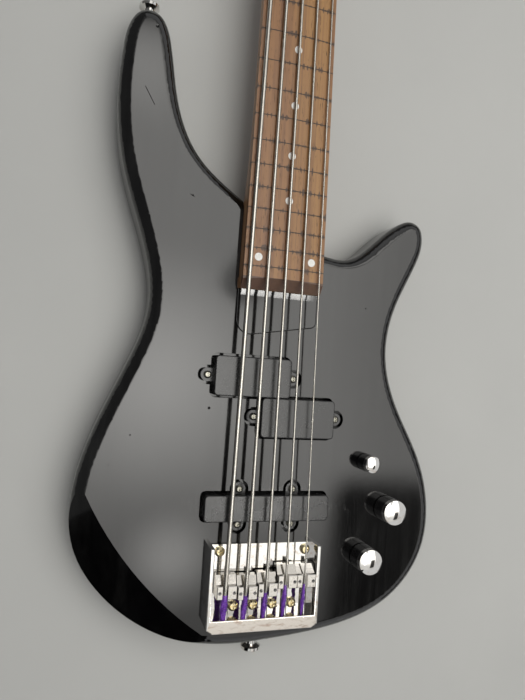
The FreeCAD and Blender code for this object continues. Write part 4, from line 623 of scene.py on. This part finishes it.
# %% Inside pieces
coil_copper = Finish("coil_copper", (0.5, 0.22, 0.1), 0.35, metallic=0.8)
turns = coil_copper.noise(coil_copper.point((20, 20, 9000)), detail=1.0)
coil_copper.colour(coil_copper.blend(turns, (0.36, 0.13, 0.055), (0.62, 0.30, 0.15)))
coil_copper.bump(turns, 0.00004)

foam_grey = Finish("foam_grey", (0.06, 0.06, 0.06), 0.95)
cells = foam_grey.add("ShaderNodeTexVoronoi", {"Vector": foam_grey.point(), "Scale": 1400.0})
foam_grey.colour(foam_grey.blend(cells, (0.025, 0.025, 0.025), (0.10, 0.10, 0.10)))
foam_grey.bump(cells, 0.0003)

wire_sleeve = Finish("wire_sleeve", (0.05, 0.05, 0.05), 0.6)
scuff = wire_sleeve.noise(wire_sleeve.point(), scale=500.0, detail=3.0)
wire_sleeve.colour(wire_sleeve.blend(scuff, (0.03, 0.03, 0.03), (0.075, 0.075, 0.075)))
wire_sleeve.bump(scuff, 0.00003)
print("inside pieces")

# %% [markdown]
# ## Dressing the solids
#
# Each solid takes the finish of its material slot, and a few take their own. A
# CAD mesh is loose triangles, so a Weld joins them and an Edge Split keeps the
# real edges crisp. Round parts then shade smoothly without moving a single point.
# The Weighted Normal lets large flat faces win over the small facets of a rounded
# edge beside them: without it the flat top would shade like a pillow.

# %% Assign finishes
FINISH_OF_SLOT = {
    "black_lacquer": body_coat, "neck_wood": neck_wood, "fingerboard_wood": board_wood,
    "slot_filler": line_filler, "dot_white": dot_white, "nut_white": nut_bone,
    "black_gloss": cap_coat, "black_plastic": cover_black, "knob_black": knob_black,
    "chrome": chrome, "light_casting": cast_plate, "brass_screw": worn_brass,
    "steel": plain_steel, "string_metal": plain_steel, "coil_copper": coil_copper,
    "magnet": magnet_dark, "foam": foam_grey, "wire_sleeve": wire_sleeve,
}
STRINGS, MIDDLE_STRING = range(5), 2
FINISH_OF_NODE = {"control_cover": lid_black, "pickup_screws": pale_screw,
                  **{f"saddle_{string + 1}": saddle_nickel for string in STRINGS}}
SMOOTH_ANGLE = 32
CRISPER_ANGLES = {"body": 20, "heel_cap": 10}
WELD_REACH = 1e-6
FLATS_FIRST = 100

for part in frame["record"]["subparts"]:
    name = part["node"]
    solid = nodes[name]
    finish = FINISH_OF_NODE.get(name, FINISH_OF_SLOT[part["material_slot"]])
    solid.data.materials.clear()
    solid.data.materials.append(finish.material)
    solid.data.polygons.foreach_set("use_smooth", np.ones(len(solid.data.polygons), bool))
    weld = solid.modifiers.new("weld", "WELD")
    weld.merge_threshold = WELD_REACH
    edges = solid.modifiers.new("edges", "EDGE_SPLIT")
    edges.split_angle = np.radians(CRISPER_ANGLES.get(name, SMOOTH_ANGLE))
    flats = solid.modifiers.new("flats", "WEIGHTED_NORMAL")
    flats.weight = FLATS_FIRST
print("finishes on", len(nodes), "solids")

# %% [markdown]
# Some solids are made of two things. A knob is a black barrel with a polished metal cap, and a
# saddle holds two dark steel height screws; their faces are given dark steel that also stands in
# for the shade in the screw holes, as painted shade. The top of the tray's rear wall takes a
# warmer, browner tint with drawn-out freckles. The faces of each are told apart by where they lie,
# and only their material number changes.

# %% Warmer wall top
REAR_WALL_FRONT, REAR_WALL_TOP = -0.0284, 0.0522


def face_centres(name):
    """Middle of every face of a solid, as an array of points in metres."""
    mesh = nodes[name].data
    centres = np.zeros(len(mesh.polygons) * 3, np.float32)
    mesh.polygons.foreach_get("center", centres)
    return centres.reshape(-1, 3)


def second_finish(name, finish, chosen):
    """The chosen faces of a solid take another finish."""
    mesh = nodes[name].data
    mesh.materials.append(finish.material)
    mesh.polygons.foreach_set("material_index", chosen.astype(np.int32))
    mesh.update()
    print(name, "has", int(chosen.sum()), "faces of", finish.material.name)


tray_faces = face_centres("bridge_tray")
wall_faces = (tray_faces[:, 1] < REAR_WALL_FRONT) & (tray_faces[:, 2] > REAR_WALL_TOP)
second_finish("bridge_tray", wall_chrome, wall_faces)

# %% Knob caps
KNOB_FOOT, KNOB_CAP_SHARE, FACE_SLACK = 0.041, 0.30, 0.0001

for name in ("knob_1", "knob_2", "knob_3"):
    knob_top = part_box(name)[1][2]
    cap_foot = knob_top - KNOB_CAP_SHARE * (knob_top - KNOB_FOOT)
    second_finish(name, chrome, face_centres(name)[:, 2] > cap_foot - FACE_SLACK)

# %% Height screws, with painted shade in their holes
BRIDGE_PITCH = 0.0144
GRUB_RADIUS = 0.00127
GRUB_SIDES = np.array([-0.00392, 0.0063])
GRUB_BACKS = np.array([9.5, 10.0, 8.5, 3.7, 4.0]) / 1000

# Painted shade: the faces round each height screw take dark steel, which is partly the screws' own
# dark steel and partly painted shade in their holes.
for string in STRINGS:
    name = f"saddle_{string + 1}"
    across = (string - MIDDLE_STRING) * BRIDGE_PITCH + GRUB_SIDES
    middles = np.column_stack([across, np.full(len(across), -GRUB_BACKS[string])])
    away = np.linalg.norm(face_centres(name)[:, None, :2] - middles[None], axis=2).min(axis=1)
    second_finish(name, dark_steel_and_hole_shade, away < GRUB_RADIUS)

# %% [markdown]
# ## Strings
#
# A bass string is a steel core with a wire wound round it. It runs from its ball end, through the
# rear wall of the bridge, over the saddle and the nut, and is wound on its post. Each string is
# made of three tubes: a tail between the wall and the saddle, a long run, and the winding, which
# turns with the post.
# A tube is a circle carried along a path: the path is one array of points, and
# every ring of the tube comes from a single outer product.

# %% Path pieces
STRING_RADII = np.array([1.65, 1.35, 1.1, 0.85, 0.575]) / 1000
NUT_PITCH = 0.00898
BOARD_RADIUS = 0.330
SADDLE_TOP, BOARD_TOP, NUT_ACTION, NUT_HALF = 0.0545, 0.0525, 0.0009, 0.0025
SADDLE_CONTACTS = -np.array([6.0, 6.5, 5.0, 0.2, 0.5]) / 1000
BALL_PLACE = (-0.0325, 0.0495)
HEAD_LENGTH = 0.197
POST_REACHES = np.array([0.28, 0.533, 0.787, 0.609, 0.355]) * HEAD_LENGTH
WINDING_FOOT = 0.0446


def crown_drop(x):
    """How far the fingerboard's round crown lies below its middle at x."""
    return BOARD_RADIUS - np.sqrt(BOARD_RADIUS ** 2 - x ** 2)


def unit(vector):
    """The vector divided by its length."""
    return vector / np.linalg.norm(vector)


def corners_of(string):
    """Ball end, saddle, nut and post: the corners of a string, and its heading from above."""
    x, nut_x = (string - MIDDLE_STRING) * np.array([BRIDGE_PITCH, NUT_PITCH])
    heading = unit(np.array([nut_x - x, SCALE_LENGTH, 0.0]))
    ball = np.array([x, *BALL_PLACE])
    saddle = np.array([x, SADDLE_CONTACTS[string], SADDLE_TOP - crown_drop(x)])
    nut = np.array([nut_x, SCALE_LENGTH, 0.0]) + heading * (NUT_HALF / heading[1])
    nut[2] = BOARD_TOP - crown_drop(nut_x) + NUT_ACTION + STRING_RADII[string]
    post = np.array([nut_x, SCALE_LENGTH, 0.0]) + heading * (POST_REACHES[string] / heading[1])
    post[2] = WINDING_FOOT + STRING_RADII[string]
    return ball, saddle, nut, post, heading


def rounded_corner(before, corner, after, radius, count):
    """Arc that touches both legs of a corner: each leg loses the same tangent length."""
    back, on = unit(before - corner), unit(after - corner)
    half = (np.pi - np.arccos(np.clip(back @ on, -1, 1))) / 2
    inward = unit(back + on)
    centre = corner + inward * radius / np.cos(half)
    along = unit(on - back)
    angle = np.linspace(-half, half, count)[:, None]
    return centre + radius * (np.sin(angle) * along - np.cos(angle) * inward)


print("string 1 bends over its saddle at", np.round(corners_of(0)[1] * 1000, 1), "mm")

# %% [markdown]
# The tube function works for every piece of a string. At each point of the path
# it needs two directions across the path. One of them is given (sideways for the
# straight pieces, outwards for the winding), and the other is the cross product
# with the path's own direction. The UV map counts the turns of the wound wire
# along the tube, so the finish can draw them at their real pitch.

# %% Tube along a path
RING = 20


def tube(name, path, side, radius, wire):
    """Circle carried along a path: point + radius * (cos a * side + sin a * other), ends closed."""
    tangent = np.gradient(path, axis=0)
    tangent /= np.linalg.norm(tangent, axis=1)[:, None]
    side = side - tangent * np.sum(side * tangent, axis=1)[:, None]
    side /= np.linalg.norm(side, axis=1)[:, None]
    other = np.cross(tangent, side)
    angle = np.linspace(0, 2 * np.pi, RING, endpoint=False)[None, :, None]
    ring = np.cos(angle) * side[:, None] + np.sin(angle) * other[:, None]
    radius = np.broadcast_to(radius, (len(path), RING))[:, :, None]
    points = (path[:, None] + radius * ring).reshape(-1, 3)
    row, column = np.meshgrid(np.arange(len(path) - 1), np.arange(RING), indexing="ij")
    after = (column + 1) % RING
    quads = np.stack([row * RING + column, row * RING + after, (row + 1) * RING + after,
                      (row + 1) * RING + column], axis=-1).reshape(-1, 4)
    ends = [list(range(RING))[::-1], list(range(len(points) - RING, len(points)))]
    length = np.concatenate([[0.0], np.cumsum(np.linalg.norm(np.diff(path, axis=0), axis=1))])
    start, end = length[row] / wire, length[row + 1] / wire
    across = np.stack([column, column + 1, column + 1, column], axis=-1).reshape(-1) / RING
    onward = np.stack([start, start, end, end], axis=-1).reshape(-1)
    turns = np.vstack([np.column_stack([across, onward]), np.zeros((2 * RING, 2))])
    mesh = bpy.data.meshes.new(name)
    mesh.from_pydata(points.tolist(), [], quads.tolist() + ends)
    mesh.polygons.foreach_set("use_smooth", np.ones(len(mesh.polygons), bool))
    mesh.uv_layers.new(name="turns").data.foreach_set("uv", turns.astype(np.float32).ravel())
    piece = bpy.data.objects.new(name, mesh)
    scene.collection.objects.link(piece)
    return piece


print("tube of", RING, "points a ring")

# %% [markdown]
# The wound wire shows as fine ridges, drawn here as relief from the UV map: the height is a sine of
# the turn number plus the way round, which makes it a screw line and not a stack of rings. The
# ridges are also painted lighter and the grooves between turns darker, as painted highlight and
# painted shade. The silk that wraps the tail end is a violet thread, with the same screw line but
# steeper, painted lighter on the strands and darker between them as painted highlight and painted
# shade, darker and lighter in clumps, and with a pale fuzz.

# %% String and silk finishes
SILK_STRANDS = 3.0


def screw_line(finish, starts=1.0):
    """Sine of 2 pi (turns along + starts * share of the way round): a thread on the tube."""
    place = finish.add("ShaderNodeUVMap", {}, uv_map="turns")
    onward, round_share = finish.axis(place, "Y"), finish.axis(place, "X")
    turn = finish.maths("MULTIPLY_ADD", round_share, starts, onward)
    return finish.maths("SINE", finish.maths("MULTIPLY", turn, 2 * np.pi))


wound_wire = Finish("wound_wire", (0.72, 0.70, 0.66), 0.24, metallic=1.0)
ridge = screw_line(wound_wire)
tarnish = wound_wire.noise(wound_wire.point((400, 40, 400)), detail=4.0)
# Painted light: the ridges of the winding are painted lighter and the grooves between turns darker,
# as painted highlight and painted shade.
painted_ridge_light = wound_wire.between(ridge, -1.0, 0.4)
wire_ridge_light_and_groove_shade = wound_wire.blend(painted_ridge_light, (0.38, 0.36, 0.325), (0.63, 0.605, 0.55))
tarnished = wound_wire.between(tarnish, 0.5, 0.8)
wound_wire.colour(wound_wire.blend(tarnished, wire_ridge_light_and_groove_shade, (0.42, 0.385, 0.33)))
wound_wire.rough(wound_wire.between(tarnish, 0.3, 0.8, 0.2, 0.36))
wound_wire.bump(ridge, 0.00002, 0.45)

violet_silk = Finish("violet_silk", (0.10, 0.025, 0.24), 0.55)
strand = screw_line(violet_silk, SILK_STRANDS)
fuzz = violet_silk.noise(violet_silk.point(), scale=1500.0, detail=3.0)
clump = violet_silk.noise(violet_silk.point((420, 130, 420)), detail=3.0, warp=0.8)
# Painted light: the silk strands are painted light violet on their crests and dark violet between
# them, as painted highlight and painted shade.
painted_strand_light = violet_silk.between(strand, -1.0, 1.0)
silk_tone_and_strand_light = violet_silk.blend(painted_strand_light, (0.045, 0.008, 0.15), (0.20, 0.035, 0.52))
dark_clump = violet_silk.between(clump, 0.38, 0.52, 0.75, 0.0)
silk_tone_and_strand_light = violet_silk.blend(dark_clump, silk_tone_and_strand_light, (0.028, 0.004, 0.085))
light_clump = violet_silk.between(clump, 0.56, 0.74, 0.0, 0.6)
silk_tone_and_strand_light = violet_silk.blend(light_clump, silk_tone_and_strand_light, (0.36, 0.19, 0.66))
pale_fuzz = violet_silk.between(fuzz, 0.45, 0.75, 0.0, 0.5)
violet_silk.colour(violet_silk.blend(pale_fuzz, silk_tone_and_strand_light, (0.30, 0.12, 0.62)))
violet_silk.rough(violet_silk.between(fuzz, 0.3, 0.7, 0.4, 0.65))
violet_silk.bump(strand, 0.00006)
print("wound wire and silk")

# %% [markdown]
# Two shapes are particular to a string. Its winding is a screw line round the
# post. It starts where the string meets the post, on the side that faces the
# middle of the head. Its silk is a thin wrap that has come loose: it bulges in the
# middle, and its lumps are two waves that twist round it in opposite ways.

# %% Winding and frayed silk
POST_SIDES = np.array([-1, -1, -1, 1, 1])
POST_WAIST, POST_GAP, TURN_GAP = 0.0055, 0.0002, 0.0006
STEPS_A_TURN = 48
SILK_PROUD, SILK_BULGE, SILK_LUMPS = 0.00018, 0.00055, 0.7
BULGE_START_SHARE, BULGE_LENGTH_SHARE = 0.2, 0.75
LUMP_WAVES = ((3, 11, 1), (2, -29, 2))


def winding_path(string, start, heading, turns, shrink=0.0):
    """Screw line: the arm from post to string turns round while it climbs one step a turn."""
    radius = POST_WAIST + STRING_RADII[string] + POST_GAP
    outward = np.array([heading[1], -heading[0], 0.0]) * POST_SIDES[string]
    post = start + outward * radius
    step = 2 * STRING_RADII[string] + TURN_GAP
    share = np.linspace(0, turns, int(STEPS_A_TURN * turns) + 1)
    spin = -POST_SIDES[string] * 2 * np.pi * share
    arm = -outward * (radius - shrink)
    turned_arm = np.column_stack([arm[0] * np.cos(spin) - arm[1] * np.sin(spin),
                                  arm[0] * np.sin(spin) + arm[1] * np.cos(spin),
                                  np.zeros(len(spin))])
    climb = np.column_stack([np.zeros((len(spin), 2)), step * share])
    return post + turned_arm + climb, turned_arm


def frayed(count, number):
    """How far the silk stands proud: a thin wrap and a bulge, times lumps that twist round it."""
    share = np.linspace(0, 1, count)[:, None]
    way_round = np.linspace(0, 2 * np.pi, RING, endpoint=False)[None]
    bulge = np.sin(np.pi * np.clip((share - BULGE_START_SHARE) / BULGE_LENGTH_SHARE, 0, 1))
    waves = [np.sin(around * way_round + along * share + start * number)
             for around, along, start in LUMP_WAVES]
    return SILK_PROUD + SILK_BULGE * bulge * (1 + SILK_LUMPS * waves[0] * waves[1])


print("silk stands up to", round(frayed(STEPS_A_TURN, 1).max() * 1000, 2), "mm proud")

# %% [markdown]
# Now the five strings. The tail runs from the ball end to the top of the saddle, and the run from
# the top of the saddle over the nut to the post.
# The run goes on for a quarter turn inside the winding, so that no gap opens when
# the post is turned. The ball end is a small drum with a waist.

# %% One string
WIRE_SHARE = 0.24
WIRE_PITCHES = STRING_RADII * WIRE_SHARE
WINDING_TURNS = np.array([1.75, 2.0, 2.25, 2.5, 2.75])
SADDLE_BEND, SADDLE_STEPS = 0.015, 17
NUT_BEND, NUT_STEPS = 0.040, 13
TAIL_STEPS, SILK_STEPS, SILK_END, RUN_STEPS, POST_STEPS = 24, 40, 34, 90, 12
SILK_PITCH = 0.0012
LEAD_TURNS, LEAD_SUNK, RUN_SLIMMER = 0.25, 0.00008, 0.985
BALL_LENGTH, BALL_GAP, BALL_RADIUS, BALL_WAIST = 0.0044, 0.0004, 0.0025, 0.0019
BALL_SHARES = np.array([0, 0.04, 0.26, 0.34, 0.66, 0.74, 0.96, 1.0])
BALL_RADII = np.array([BALL_WAIST, BALL_RADIUS, BALL_RADIUS, BALL_WAIST,
                       BALL_WAIST, BALL_RADIUS, BALL_RADIUS, BALL_WAIST])


def straight_tube(name, path, side_way, radius, wire):
    """Tube whose rings all start from the same side."""
    return tube(name, path, np.tile(side_way, (len(path), 1)), radius, wire)


def make_string(string):
    """Ball end, tail, silk, run and winding of one string; the ball end goes on the instrument and
    the winding on its post.
    """
    number = string + 1
    radius, wire = STRING_RADII[string], WIRE_PITCHES[string]
    ball, saddle, nut, post, heading = corners_of(string)
    side_way = np.array([heading[1], -heading[0], 0.0])
    over_saddle = rounded_corner(ball, saddle, nut, SADDLE_BEND, SADDLE_STEPS)
    over_nut = rounded_corner(saddle, nut, post, NUT_BEND, NUT_STEPS)
    top = SADDLE_STEPS // 2

    tail_path = np.vstack([np.linspace(ball, over_saddle[0], TAIL_STEPS, endpoint=False),
                           over_saddle[:top + 1]])
    tail = straight_tube(f"string_{number}_tail", tail_path, side_way, radius, wire)
    silk_path = np.linspace(ball, over_saddle[0], SILK_STEPS)[:SILK_END]
    silk = straight_tube(f"string_{number}_silk", silk_path, side_way,
                         radius + frayed(SILK_END, number), SILK_PITCH)

    lead, lead_arm = winding_path(string, post, heading, LEAD_TURNS, LEAD_SUNK)
    open_run = np.linspace(over_saddle[-1], over_nut[0], RUN_STEPS)[1:-1]
    to_post = np.linspace(over_nut[-1], post, POST_STEPS)[1:-1]
    run_path = np.vstack([over_saddle[top:], open_run, over_nut, to_post, lead])
    run_side = np.vstack([np.tile(side_way, (len(run_path) - len(lead), 1)),
                          -lead_arm * POST_SIDES[string]])
    run = tube(f"string_{number}_run", run_path, run_side, radius * RUN_SLIMMER, wire)
    coil_path, coil_arm = winding_path(string, post, heading, WINDING_TURNS[string])
    coil = tube(f"string_{number}_winding", coil_path, coil_arm, radius, wire)

    drum_path = ball - np.outer(BALL_SHARES * BALL_LENGTH + BALL_GAP, [0.0, 1.0, 0.0])
    drum = straight_tube(f"string_{number}_ball", drum_path, [1.0, 0.0, 0.0],
                         BALL_RADII[:, None], wire)
    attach(drum, "instrument")
    for piece, finish in ((tail, wound_wire), (silk, violet_silk), (run, wound_wire),
                          (coil, wound_wire), (drum, worn_brass)):
        piece.data.materials.append(finish.material)
    for piece in (tail, silk):
        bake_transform(piece)
    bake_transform(run)
    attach(coil, f"tuner_post_{number}")
    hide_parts(f"string_{number}")
    return run


# %% Five strings
for string in STRINGS:
    run = make_string(string)
    print(run.name, "has", len(run.data.polygons), "faces")
